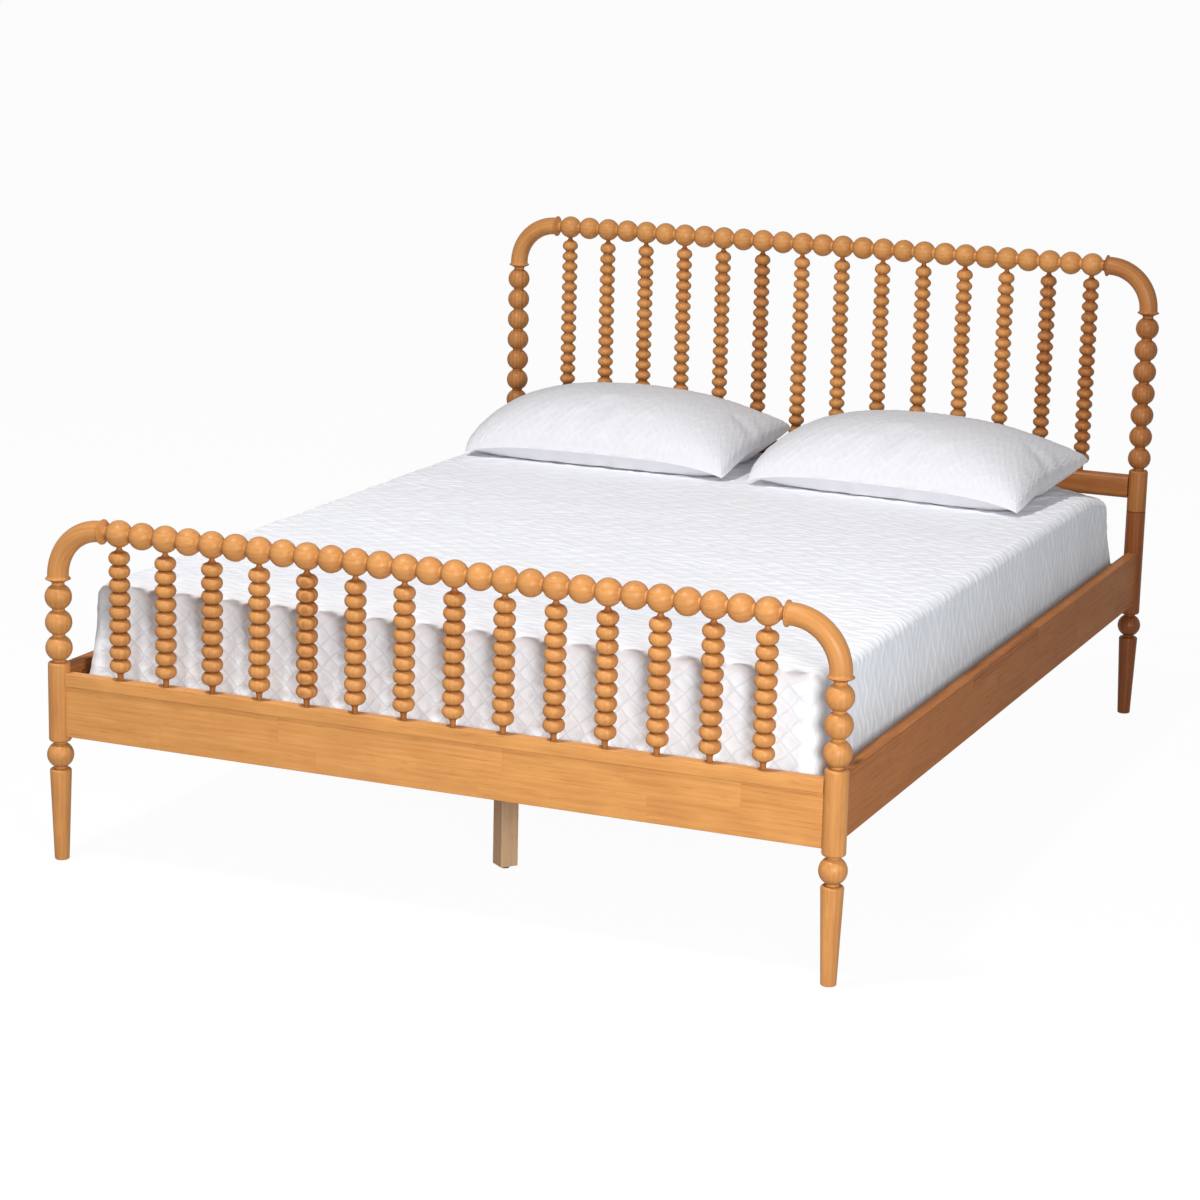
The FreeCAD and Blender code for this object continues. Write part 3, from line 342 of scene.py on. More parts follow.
def add_node(tree, kind, inputs=None, **settings):
    """New node with its settings made and its inputs set or joined."""
    node = tree.nodes.new(kind)
    for name, value in settings.items():
        setattr(node, name, value)
    fill_inputs(tree, node.inputs, inputs or {})
    return node


def maths(tree, operation, *values):
    return add_node(tree, "ShaderNodeMath", dict(enumerate(values)), operation=operation).outputs[0]


def vector_maths(tree, operation, first, second):
    return add_node(tree, "ShaderNodeVectorMath", {0: first, 1: second}, operation=operation).outputs[0]


def spread(tree, value, low, high, to_low=0.0, to_high=1.0):
    """Value between low and high, spread over another range and held within it."""
    inputs = {"Value": value, "From Min": low, "From Max": high, "To Min": to_low, "To Max": to_high}
    return add_node(tree, "ShaderNodeMapRange", inputs).outputs["Result"]


def mix_colours(tree, amount, first, second, blend="MIX"):
    inputs = {0: amount, 6: first, 7: second}
    return add_node(tree, "ShaderNodeMix", inputs, data_type="RGBA", blend_type=blend).outputs[2]


def stretch(tree, vector, scale):
    return add_node(tree, "ShaderNodeMapping", {"Vector": vector, "Scale": scale}).outputs["Vector"]


def noise(tree, vector, variation, detail=2.0, roughness=0.5):
    inputs = {"Vector": vector, "W": variation, "Scale": 1.0, "Detail": detail, "Roughness": roughness}
    return add_node(tree, "ShaderNodeTexNoise", inputs, noise_dimensions="4D").outputs["Fac"]


def new_group(name, inputs, outputs):
    """Shader node group with named sockets, its input node and its output node."""
    tree = bpy.data.node_groups.new(name, "ShaderNodeTree")
    for socket_name, kind, default in inputs:
        socket = tree.interface.new_socket(name=socket_name, in_out="INPUT", socket_type=kind)
        if default is not None:
            socket.default_value = default
    for socket_name, kind in outputs:
        tree.interface.new_socket(name=socket_name, in_out="OUTPUT", socket_type=kind)
    return tree, tree.nodes.new("NodeGroupInput").outputs, tree.nodes.new("NodeGroupOutput").inputs


def rgba(value):
    return (*value, 1.0)


def wood_grain_group():
    """Grain of a piece of wood: growth rings round an off-centre pith, fibres, pores and uneven stain.

    Grain runs along the first axis of the vector, in metres. Tone tells one piece from the next: pieces of a
    tone near 0.9 show the strongest rings, and those above 1 come out redder and deeper: stain, and painted
    shade on the head's right pieces and its lower rail.
    """
    name = "wood_grain"
    if name in bpy.data.node_groups:
        return bpy.data.node_groups[name]
    tree, given, result = new_group(
        name,
        [("Grain", "NodeSocketVector", None), ("Tone", "NodeSocketFloat", 0.0),
         ("Crevice", "NodeSocketFloat", 0.0), ("Light", "NodeSocketColor", None),
         ("Dark", "NodeSocketColor", None), ("Figure", "NodeSocketFloat", WOOD_FIGURE)],
        [("Color", "NodeSocketColor"), ("Roughness", "NodeSocketFloat"), ("Height", "NodeSocketFloat")])
    grain = given["Grain"]
    tone = given["Tone"]
    variation = maths(tree, "MULTIPLY", tone, 31.0)
    pith_y = maths(tree, "MULTIPLY_ADD", tone, 0.05, 0.012)
    pith = add_node(tree, "ShaderNodeCombineXYZ", {"Y": pith_y, "Z": PITH_DEPTH}).outputs[0]
    heart = vector_maths(tree, "ADD", grain, pith)
    ring_inputs = {"Vector": stretch(tree, heart, RING_STRETCH), "Scale": 34.0, "Distortion": 7.0,
                   "Detail": 3.0, "Detail Scale": 0.8, "Detail Roughness": 0.6}
    ring_wave = add_node(tree, "ShaderNodeTexWave", ring_inputs, wave_type="RINGS", rings_direction="X")
    rings = ring_wave.outputs["Fac"]
    fibre = noise(tree, stretch(tree, grain, FIBRE_STRETCH), variation, 4.0, 0.62)
    streak = spread(tree, noise(tree, stretch(tree, grain, STREAK_STRETCH), variation, 2.0), 0.60, 0.78)
    pores = spread(tree, noise(tree, stretch(tree, grain, PORE_STRETCH), variation, 1.0), 0.60, 0.76)
    blotch = noise(tree, stretch(tree, grain, BLOTCH_STRETCH), variation, 2.0)
    bold = spread(tree, tone, 0.55, 0.85, 0.6, 2.6)
    veiled = spread(tree, tone, 1.0, 1.2, 0.0, 1.6)
    boldness = maths(tree, "MULTIPLY", given["Figure"], maths(tree, "SUBTRACT", bold, veiled))
    shade = maths(tree, "MULTIPLY", maths(tree, "SUBTRACT", rings, 0.5), boldness)
    shade = maths(tree, "ADD", shade, spread(tree, fibre, 0.25, 0.75, 0.12, 0.44))
    shade = maths(tree, "ADD", shade, spread(tree, blotch, 0.3, 0.7, -0.14, 0.14))
    shade = maths(tree, "MULTIPLY_ADD", streak, 0.22, shade)
    shade = maths(tree, "MULTIPLY_ADD", tone, 0.14, shade)
    # Painted shade darkens the spindles' grooves; the same input carries the real dark joint and glue lines
    shade = maths(tree, "MULTIPLY_ADD", given["Crevice"], 0.55, shade)
    stain = mix_colours(tree, spread(tree, shade, 0.0, 1.0), given["Light"], given["Dark"])
    stain = mix_colours(tree, maths(tree, "MULTIPLY", pores, 0.4), stain, rgba(PORE_STAIN), "MULTIPLY")
    # Redder, deeper colour for high tones: a deeper stain, and painted shade on the pieces toned dark for
    # their shade
    stain = mix_colours(tree, spread(tree, tone, 0.6, 3.0), stain, rgba(DEEP_STAIN_AND_SHADE), "MULTIPLY")
    tree.links.new(stain, result["Color"])
    tree.links.new(spread(tree, fibre, 0.3, 0.7, 0.34, 0.46), result["Roughness"])
    tree.links.new(maths(tree, "MULTIPLY_ADD", pores, -0.7, fibre), result["Height"])
    return tree


def stave_group():
    """Tone of the staves that a board is glued up from, and a mask of the glue lines."""
    name = "glued_staves"
    if name in bpy.data.node_groups:
        return bpy.data.node_groups[name]
    tree, given, result = new_group(
        name,
        [("Grain", "NodeSocketVector", None), ("Length", "NodeSocketFloat", 0.4),
         ("Width", "NodeSocketFloat", 0.05), ("Tone", "NodeSocketFloat", 0.0)],
        [("Tone", "NodeSocketFloat"), ("Glue line", "NodeSocketFloat")])
    inputs = {"Vector": given["Grain"], "Color1": rgba((0, 0, 0)), "Color2": WHITE,
              "Mortar": rgba((0.5, 0.5, 0.5)), "Scale": 1.0, "Mortar Size": 0.0003, "Mortar Smooth": 0.3,
              "Bias": 0.0, "Brick Width": given["Length"], "Row Height": given["Width"]}
    staves = add_node(tree, "ShaderNodeTexBrick", inputs, offset=0.37, offset_frequency=2, squash=0.72,
                      squash_frequency=3)
    stave_tone = spread(tree, staves.outputs["Color"], 0.0, 1.0, -0.5, 0.9)
    tree.links.new(maths(tree, "ADD", stave_tone, given["Tone"]), result["Tone"])
    tree.links.new(maths(tree, "MULTIPLY", staves.outputs["Fac"], 0.35), result["Glue line"])
    return tree


def cotton_group():
    """Fine plain weave and faint unevenness of a cotton cover, with stitched diamonds on the end faces, and
    painted shade in the quilting's hollows and along the stitched lines.

    Painted cool tint is 1 on the mattress's sides, whose cloth is tinted a little cooler: painted light that
    offsets the warm light the wood throws on them.
    """
    name = "cotton_weave"
    if name in bpy.data.node_groups:
        return bpy.data.node_groups[name]
    tree, given, result = new_group(
        name,
        [("Cloth", "NodeSocketVector", None), ("Hollow", "NodeSocketFloat", 0.0),
         ("Cover", "NodeSocketColor", None), ("Shade", "NodeSocketColor", None),
         ("Border", "NodeSocketFloat", 0.0), ("End face", "NodeSocketFloat", 0.0),
         ("Diamond", "NodeSocketFloat", 0.04)],
        [("Color", "NodeSocketColor"), ("Roughness", "NodeSocketFloat"), ("Height", "NodeSocketFloat")])
    cloth = given["Cloth"]
    crosswise = []
    for direction in ("X", "Y"):
        inputs = {"Vector": cloth, "Scale": WEAVE_SCALE, "Distortion": 1.5, "Detail": 1.0}
        threads = add_node(tree, "ShaderNodeTexWave", inputs, bands_direction=direction)
        crosswise.append(threads.outputs["Fac"])
    weave = maths(tree, "MULTIPLY", *crosswise)
    crumple = noise(tree, stretch(tree, cloth, CRUMPLE_STRETCH), 0.0, 3.0, 0.6)
    place = add_node(tree, "ShaderNodeSeparateXYZ", {"Vector": cloth}).outputs
    wander = maths(tree, "MULTIPLY", noise(tree, stretch(tree, cloth, WANDER_STRETCH), 0.0), 0.9)
    stitched = []
    for lean in (-1.0, 1.0):
        slant = maths(tree, "MULTIPLY_ADD", place["Z"], lean, place["X"])
        slant = maths(tree, "DIVIDE", slant, given["Diamond"])
        within = maths(tree, "FRACT", maths(tree, "ADD", slant, wander))
        beside = maths(tree, "ABSOLUTE", maths(tree, "SUBTRACT", within, 0.5))
        stitched.append(spread(tree, beside, 0.04, 0.10, 1.0, 0.0))
    seam = maths(tree, "MULTIPLY", maths(tree, "MAXIMUM", *stitched), given["End face"])
    # Painted shade: the cover is mixed towards its shade colour in the quilting's hollows; the crumple only
    # adds uneven tone
    shade = maths(tree, "MULTIPLY_ADD", given["Hollow"], 0.8, maths(tree, "MULTIPLY", crumple, 0.25))
    shade = spread(tree, maths(tree, "ADD", shade, seam), 0.0, 1.0)
    cover = mix_colours(tree, shade, given["Cover"], given["Shade"])
    # Painted light: a cool tint on the sides offsets the warm light the wood throws on them
    cover = mix_colours(tree, given["Border"], cover, rgba(PAINTED_COOL_TINT), "MULTIPLY")
    # Painted shade along the stitched lines of the end faces' diamonds
    cover = mix_colours(tree, maths(tree, "MULTIPLY", seam, 0.22), cover, rgba(STITCH_SHADE), "MULTIPLY")
    tree.links.new(cover, result["Color"])
    tree.links.new(spread(tree, weave, 0.0, 1.0, 0.82, 0.94), result["Roughness"])
    height = maths(tree, "MULTIPLY_ADD", weave, 0.35, crumple)
    tree.links.new(maths(tree, "MULTIPLY_ADD", seam, -1.2, height), result["Height"])
    return tree


def empty_tree(owner):
    """Node tree of a material or a world, with nothing in it."""
    owner.use_nodes = True
    owner.node_tree.nodes.clear()
    return owner.node_tree


def new_material(name):
    """Empty material, its node tree and its surface shader."""
    material = bpy.data.materials.new(name)
    tree = empty_tree(material)
    shader = tree.nodes.new("ShaderNodeBsdfPrincipled")
    add_node(tree, "ShaderNodeOutputMaterial", {"Surface": shader.outputs["BSDF"]})
    return material, tree, shader


def bump_normal(tree, height, strength, distance):
    inputs = {"Height": height, "Strength": strength, "Distance": distance}
    return add_node(tree, "ShaderNodeBump", inputs).outputs["Normal"]


def join_surface(tree, shader, group, bump, constants):
    """Joins a group's colour, roughness and height to the shader, and sets the shader's constants."""
    fill_inputs(tree, shader.inputs, {
        "Base Color": group.outputs["Color"], "Roughness": group.outputs["Roughness"],
        "Normal": bump_normal(tree, group.outputs["Height"], *bump), **constants})


def place_group(tree, group, inputs):
    return add_node(tree, "ShaderNodeGroup", inputs, node_tree=group)


def read_attribute(tree, name, output):
    return add_node(tree, "ShaderNodeAttribute", attribute_name=name).outputs[output]


def turned_wood(wood):
    """Honey stain under a thin tinted varnish, on turned wood with its own grain and tone, painted shade in
    its grooves and dark lines at its joints.
    """
    name = "turned_honey_wood"
    if name in bpy.data.materials:
        return bpy.data.materials[name]
    material, tree, shader = new_material(name)
    group = place_group(tree, wood_grain_group(), {
        "Grain": read_attribute(tree, "grain", "Vector"), "Tone": read_attribute(tree, "tone", "Fac"),
        "Crevice": read_attribute(tree, "crevice", "Fac"), "Light": rgba(wood.light), "Dark": rgba(wood.dark),
        "Figure": WOOD_FIGURE})
    join_surface(tree, shader, group, WOOD_BUMP, {
        "Specular IOR Level": TURNED_GLOSS, "Coat Weight": 0.5, "Coat Roughness": 0.4, "Coat IOR": 1.01,
        "Coat Tint": rgba(VARNISH_TINT)})
    return material


def board_wood(name, light, dark, axes, place, stave, tone, gloss):
    """Wood of a flat board. Axes gives the grain's direction, then the board's width and its thickness."""
    material, tree, shader = new_material(name)
    coordinates = tree.nodes.new("ShaderNodeTexCoord").outputs["Object"]
    local = vector_maths(tree, "SUBTRACT", coordinates, place)
    split = add_node(tree, "ShaderNodeSeparateXYZ", {"Vector": local}).outputs
    grain = add_node(tree, "ShaderNodeCombineXYZ", {i: split[axis] for i, axis in enumerate(axes)}).outputs[0]
    inputs = {"Grain": grain, "Tone": tone, "Light": rgba(light), "Dark": rgba(dark), "Figure": WOOD_FIGURE}
    if stave:
        stave_inputs = {"Grain": grain, "Length": stave[0], "Width": stave[1], "Tone": tone}
        staves = place_group(tree, stave_group(), stave_inputs)
        inputs["Tone"] = staves.outputs["Tone"]
        inputs["Crevice"] = staves.outputs["Glue line"]
    group = place_group(tree, wood_grain_group(), inputs)
    join_surface(tree, shader, group, WOOD_BUMP, {"Specular IOR Level": gloss})
    return material


def speckled(name, size, detail, dark, light, roughness):
    """Material with specks of two tones, its node tree, its shader and the mask of its specks."""
    material, tree, shader = new_material(name)
    coordinates = tree.nodes.new("ShaderNodeTexCoord").outputs["Object"]
    specks = noise(tree, stretch(tree, coordinates, (size, size, size)), 0.0, detail)
    fill_inputs(tree, shader.inputs, {
        "Base Color": mix_colours(tree, specks, rgba(dark), rgba(light)),
        "Roughness": spread(tree, specks, 0.3, 0.7, *roughness)})
    return material, tree, shader, specks


def zinc_steel():
    material, _, shader, _ = speckled(
        "zinc_plated_steel", 160.0, 3.0, (0.50, 0.51, 0.52), (0.68, 0.69, 0.70), (0.28, 0.45))
    shader.inputs["Metallic"].default_value = 1.0
    return material


def glide_plastic():
    material, tree, shader, grit = speckled(
        "black_glide_plastic", 900.0, 2.0, (0.020, 0.020, 0.021), (0.045, 0.045, 0.047), (0.5, 0.65))
    tree.links.new(bump_normal(tree, grit, 0.3, 0.0002), shader.inputs["Normal"])
    return material


def quilted_cotton(name, cover, shade, diamond):
    material, tree, shader = new_material(name)
    group = place_group(tree, cotton_group(), {
        "Cloth": read_attribute(tree, "cloth", "Vector"), "Hollow": read_attribute(tree, "hollow", "Fac"),
        "Cover": rgba(cover), "Shade": rgba(shade), "Border": read_attribute(tree, "border", "Fac"),
        "End face": read_attribute(tree, "end_face", "Fac"), "Diamond": diamond})
    join_surface(tree, shader, group, COTTON_BUMP, {
        "Specular IOR Level": COTTON_GLOSS, "Sheen Weight": 0.12, "Sheen Roughness": 0.5})
    return material


# Meshes of turned wood


class Outline:
    """Outline of a turned piece: its radius against height, from one end of its axis to the other."""

    def __init__(self, radius, height):
        self.points = [(radius, height)]

    def line(self, radius, height):
        last_radius, last_height = self.points[-1]
        if abs(last_radius - radius) + abs(last_height - height) > SAME_POINT:
            self.points.append((radius, height))

    def arc(self, hub_radius, hub_height, size, first, turn):
        steps = max(2, math.ceil(abs(turn) / ARC_STEP))
        for i in range(1, steps + 1):
            angle = first + turn * i / steps
            self.line(hub_radius + size * math.cos(angle), hub_height + size * math.sin(angle))

    def sweep(self, radius, height, upright):
        """Arc that runs parallel to the axis at its upright end, which is "start" or "end"."""
        start = self.points[-1]
        end = (radius, height)
        still, other = (start, end) if upright == "start" else (end, start)
        run = still[0] - other[0]
        rise = still[1] - other[1]
        bend = (run ** 2 + rise ** 2) / (2 * run)
        hub = (still[0] - bend, still[1])
        first = math.atan2(start[1] - hub[1], start[0] - hub[0])
        last = math.atan2(end[1] - hub[1], end[0] - hub[0])
        self.arc(*hub, abs(bend), first, math.remainder(last - first, math.tau))

    def ball(self, turning, height):
        radius = turning.ball_diameter / 2
        lean = math.acos(turning.neck_diameter / turning.ball_diameter)
        self.line(turning.neck_diameter / 2, height - radius * math.sin(lean))
        self.arc(0.0, height, radius, -lean, 2 * lean)


def ball_step(turning):
    """From a shoulder, over one neck, to the middle of the ball beside it."""
    half = math.sqrt(turning.ball_diameter ** 2 - turning.neck_diameter ** 2) / 2
    return turning.ball_pitch - half


def barrel_base(turning):
    """Height at which a post's barrel starts, above the leg's ball."""
    return turning.leg_taper_height + 2 * ball_step(turning)


def outline_rings(outline, place, along, out, aside):
    return [(place + along * height, out, aside, radius, height) for radius, height in outline.points]


def groove_shade(rings):
    """How deep each ring lies below the widest ring near it, from 0 to 1: the strength of the painted shade
    there.
    """
    radius = np.array([ring[3] for ring in rings])
    along = np.array([ring[4] for ring in rings])
    shades = []
    for i in range(len(rings)):
        widest = radius[np.abs(along - along[i]) < GROOVE_SHADE_REACH].max()
        shades.append(min(1.0, (widest - radius[i]) / (GROOVE_SHADE_DEPTH * widest)) ** 2)
    return shades


def ring_mesh(name, rings, cuts, tone, closed=True):
    """Skin over a string of rings.

    Each ring has a centre, two crosswise directions, a radius and its place along the grain.
    """
    points = []
    grain = []
    faces = []
    for centre, out, aside, radius, along in rings:
        for cut in range(cuts):
            angle = math.tau * cut / cuts
            c = radius * math.cos(angle)
            s = radius * math.sin(angle)
            points.append(centre + out * c + aside * s)
            grain.append((along, c, s))
    for ring in range(len(rings) - 1):
        low = ring * cuts
        for cut in range(cuts):
            after = (cut + 1) % cuts
            faces.append((low + cut, low + after, low + cuts + after, low + cuts + cut))
    if closed:
        for ring, order in ((0, -1), (len(rings) - 1, 1)):
            hub = len(points)
            points.append(rings[ring][0])
            grain.append((rings[ring][4], 0.0, 0.0))
            rim = [ring * cuts + cut for cut in range(cuts)][::order]
            faces.extend((rim[i], rim[(i + 1) % cuts], hub) for i in range(cuts))
    mesh = new_mesh(name, points, faces)
    turn_faces_out(mesh)
    add_grain(mesh, grain, tone)
    smooth(mesh)
    return mesh


def new_mesh(name, points, faces):
    mesh = bpy.data.meshes.new(name)
    mesh.from_pydata(points, [], faces)
    return mesh


def add_values(mesh, name, values):
    """Stores a number or a vector for each point of the mesh."""
    values = np.asarray(values, dtype=np.float32)
    kind, field = ("FLOAT_VECTOR", "vector") if values.ndim == 2 else ("FLOAT", "value")
    found = mesh.attributes.get(name)
    if found:
        mesh.attributes.remove(found)
    attribute = mesh.attributes.new(name, kind, "POINT")
    attribute.data.foreach_set(field, values.ravel())


def add_grain(mesh, grain, tone):
    """Stores where each point lies in the grain, and one tone for the whole piece."""
    add_values(mesh, "grain", grain)
    add_values(mesh, "tone", np.full(len(mesh.vertices), tone))


def read_vectors(items, field):
    """Three numbers of each item of a mesh's collection, as rows."""
    values = np.empty(len(items) * 3, dtype=np.float32)
    items.foreach_get(field, values)
    return values.reshape(-1, 3).astype(float)


def mesh_points(mesh):
    return read_vectors(mesh.vertices, "co")


def move_points(mesh, points):
    mesh.vertices.foreach_set("co", points.astype(np.float32).ravel())


def turn_faces_out(mesh, close=False):
    """Points all faces outwards, with any open end closed first if close is set."""
    work = bmesh.new()
    work.from_mesh(mesh)
    if close:
        rims = [edge for edge in work.edges if edge.is_boundary]
        bmesh.ops.holes_fill(work, edges=rims, sides=0)
    bmesh.ops.recalc_face_normals(work, faces=work.faces)
    work.to_mesh(mesh)
    work.free()


def plain_mesh(name, piece):
    """Mesh of a piece with its modifiers applied."""
    depsgraph = bpy.context.evaluated_depsgraph_get()
    mesh = bpy.data.meshes.new_from_object(piece.evaluated_get(depsgraph), preserve_all_data_layers=True,
                                           depsgraph=depsgraph)
    mesh.name = name
    return mesh


def smooth(mesh, angle=SHARP_ANGLE):
    mesh.shade_smooth()
    mesh.set_sharp_from_angle(angle=angle)
    mesh.update()


def finish(mesh, material):
    mesh.materials.clear()
    mesh.materials.append(material)


def show(name, mesh, material=None):
    piece = bpy.data.objects.new(name, mesh)
    bpy.context.scene.collection.objects.link(piece)
    if material:
        finish(mesh, material)
    return piece


def dress(piece, body, slot, *nodes):
    """The piece stands for these nodes and moves with the body. The slot is not used."""
    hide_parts(*nodes)
    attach(piece, body)
    return piece


def middle_of(node):
    low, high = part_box(node)
    return (low + high) / 2


def leg_outline(turning):
    """Tapered foot, ball and the start of the barrel, common to all four corner legs."""
    tip = turning.leg_tip_diameter / 2
    top = turning.leg_top_diameter / 2
    neck = turning.neck_diameter / 2
    barrel = turning.post_diameter / 2
    outline = Outline(tip - turning.leg_tip_ease, 0.0)
    outline.line(tip, turning.leg_tip_ease)
    outline.line(top, turning.leg_taper_height - turning.leg_shoulder)
    outline.sweep(top - turning.leg_shoulder, turning.leg_taper_height, "start")
    outline.line(neck, turning.leg_taper_height)
    outline.ball(turning, turning.leg_taper_height + ball_step(turning))
    outline.line(neck, barrel_base(turning))
    outline.line(barrel - turning.post_shoulder, barrel_base(turning))
    outline.sweep(barrel, barrel_base(turning) + turning.post_shoulder, "end")
    return outline


def string_of_balls(outline, turning, barrel_top, count):
    """Top shoulder of a barrel and the balls above it, up to the joint with the elbow."""
    barrel = turning.post_diameter / 2
    outline.line(barrel, barrel_top - turning.post_shoulder)
    outline.sweep(barrel - turning.post_shoulder, barrel_top, "start")
    outline.line(turning.neck_diameter / 2, barrel_top)
    first = barrel_top + ball_step(turning)
    for i in range(count):
        outline.ball(turning, first + i * turning.ball_pitch)
    outline.line(turning.neck_diameter / 2, first + (count - 0.5) * turning.ball_pitch)


def turned_post(name, outline, material, joint=None):
    """Upright turned piece that stands for the node of its name, with a dark line at its joint's height."""
    middle = middle_of(name)
    rings = outline_rings(outline, Vector((middle.x, middle.y, 0.0)), ALONG_Z, ALONG_X, ALONG_Y)
    mesh = ring_mesh(name, rings, ROUND_CUTS, PIECE_TONES_AND_SHADE[name])
    if joint:
        beside = np.abs(mesh_points(mesh)[:, 2] - joint) < JOINT_LINE
        add_values(mesh, "crevice", np.where(beside, JOINT_SHADE, 0.0))
    return dress(show(f"{name}_turned", mesh, material), "bed_frame", "stained_wood", name)


def elbow_end_outline(turning):
    """Neck, bevelled collar and cove of an elbow's end, from its joint face towards the bend."""
    neck = turning.neck_diameter / 2
    collar = turning.collar_diameter / 2
    height = turning.elbow_neck
    outline = Outline(neck, 0.0)
    outline.line(neck, height)
    height += turning.collar_bevel
    outline.line(collar, height)
    height += turning.collar_width
    rim = turning.collar_width / 2
    outline.arc(collar - rim, height - rim, rim, -math.pi / 2, math.pi)
    height += turning.collar_cove
    outline.sweep(turning.elbow_diameter / 2, height, "end")
    return outline


def elbow_rings(turning, side, reach):
    """Rings of a quarter bend from the top of a post, at the origin's height, to the end of a top rail."""
    end = elbow_end_outline(turning)
    end_length = end.points[-1][1]
    bend = reach - end_length
    quarter = bend * math.pi / 2
    steps = math.ceil(math.pi / 2 / BEND_STEP)
    outwards = ALONG_X * side
    rings = outline_rings(end, outwards * reach, ALONG_Z, outwards, ALONG_Y)
    for i in range(1, steps):
        angle = math.pi / 2 * i / steps
        out = outwards * math.cos(angle) + ALONG_Z * math.sin(angle)
        centre = outwards * end_length + ALONG_Z * end_length + out * bend
        rings.append((centre, out, ALONG_Y, turning.elbow_diameter / 2, end_length + quarter * i / steps))
    full = 2 * end_length + quarter
    for radius, height in reversed(end.points):
        rings.append((outwards * height + ALONG_Z * reach, ALONG_Z, ALONG_Y, radius, full - height))
    return rings


# Rows of like pieces, laid out by geometry nodes


def row_tree():
    """Geometry nodes that set a pattern out in a row along X, each copy turned by chance."""
    name = "turned_row"
    if name in bpy.data.node_groups:
        return bpy.data.node_groups[name]
    tree = bpy.data.node_groups.new(name, "GeometryNodeTree")
    tree.interface.new_socket(name="Geometry", in_out="INPUT", socket_type="NodeSocketGeometry")
    sockets = {"Pattern": "Object", "Count": "Int", "Pitch": "Float", "First place": "Vector",
               "Turn": "Float", "Seed": "Int", "Finish": "Material"}
    for socket_name, kind in sockets.items():
        tree.interface.new_socket(name=socket_name, in_out="INPUT", socket_type=f"NodeSocket{kind}")
    tree.interface.new_socket(name="Geometry", in_out="OUTPUT", socket_type="NodeSocketGeometry")
    given = tree.nodes.new("NodeGroupInput").outputs
    result = tree.nodes.new("NodeGroupOutput").inputs
    step = add_node(tree, "ShaderNodeCombineXYZ", {"X": given["Pitch"]}).outputs[0]
    line = add_node(tree, "GeometryNodeMeshLine", {
        "Count": given["Count"], "Start Location": given["First place"], "Offset": step}, mode="OFFSET")
    pattern = add_node(tree, "GeometryNodeObjectInfo", {"Object": given["Pattern"], "As Instance": True})
    turn_inputs = {2: 0.0, 3: given["Turn"], "Seed": given["Seed"]}
    turn = add_node(tree, "FunctionNodeRandomValue", turn_inputs, data_type="FLOAT")
    turned = add_node(tree, "ShaderNodeCombineXYZ", {"Z": turn.outputs[1]}).outputs[0]
    copies = add_node(tree, "GeometryNodeInstanceOnPoints", {
        "Points": line.outputs["Mesh"], "Instance": pattern.outputs["Geometry"], "Rotation": turned})
    solid = add_node(tree, "GeometryNodeRealizeInstances", {"Geometry": copies.outputs["Instances"]})
    joined = add_node(tree, "GeometryNodeMergeByDistance", {
        "Geometry": solid.outputs["Geometry"], "Distance": WELD_DISTANCE})
    finished = add_node(tree, "GeometryNodeSetMaterial", {
        "Geometry": joined.outputs["Geometry"], "Material": given["Finish"]})
    tree.links.new(finished.outputs["Geometry"], result["Geometry"])
    return tree


def row_mesh(name, pattern_mesh, material, values):
    """Plain mesh of a row that the geometry nodes lay out from a pattern."""
    pattern = show(f"{name}_pattern", pattern_mesh)
    carrier = show(f"{name}_row", bpy.data.meshes.new(name))
    tree = row_tree()
    modifier = carrier.modifiers.new("row", "NODES")
    modifier.node_group = tree
    settings = dict(values, Pattern=pattern, Finish=material)
    for item in tree.interface.items_tree:
        if item.in_out == "INPUT" and item.name in settings:
            modifier[item.identifier] = settings[item.name]
    carrier.update_tag()
    bpy.context.view_layer.update()
    mesh = plain_mesh(name, carrier)
    for spare in (pattern, carrier):
        bpy.data.objects.remove(spare)
    if len(mesh.polygons) != len(pattern_mesh.polygons) * values["Count"]:
        raise RuntimeError(f"{name}: the row came out with {len(mesh.polygons)} faces")
    return mesh


def ball_pattern(turning, pitch):
    """One ball of a top rail with half a neck at each side, lying along X."""
    outline = Outline(turning.neck_diameter / 2, -pitch / 2)
    outline.ball(turning, 0.0)
    outline.line(turning.neck_diameter / 2, pitch / 2)
    rings = outline_rings(outline, Vector(), ALONG_X, ALONG_Y, ALONG_Z)
    return ring_mesh("rail_ball", rings, ROUND_CUTS, 0.0, closed=False)


def top_rail_mesh(name, turning, tone, material):
    low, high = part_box(name)
    middle = (low + high) / 2
    pitch = (high.x - low.x) / turning.rail_balls
    mesh = row_mesh(name, ball_pattern(turning, pitch), material, {
        "Count": turning.rail_balls, "Pitch": pitch, "First place": (low.x + pitch / 2, middle.y, middle.z),
        "Turn": 0.0, "Seed": 0})
    turn_faces_out(mesh, close=True)
    add_grain(mesh, mesh_points(mesh) - np.array((0.0, middle.y, middle.z)), tone)
    smooth(mesh)
    return mesh


def round_beads(outline, spindles, middle, pitch):
    """From one rounded bead's widest line, through the groove, to the next."""
    outline.sweep(spindles.foot_groove_diameter / 2, middle + pitch / 2, "start")
    outline.sweep(spindles.foot_bead_diameter / 2, middle + pitch, "end")


def lozenge_beads(outline, spindles, middle, pitch):
    """As round_beads, for beads with sloping flanks and a narrow flat groove between them."""
    edge = spindles.head_bead_edge / 2
    groove = spindles.head_groove_diameter / 2
    outline.sweep(edge, middle + spindles.head_bead_band / 2, "start")
    outline.line(groove, middle + (pitch - spindles.head_groove_width) / 2)
    outline.line(groove, middle + (pitch + spindles.head_groove_width) / 2)
    outline.line(edge, middle + pitch - spindles.head_bead_band / 2)
    outline.sweep(spindles.head_bead_diameter / 2, middle + pitch, "end")


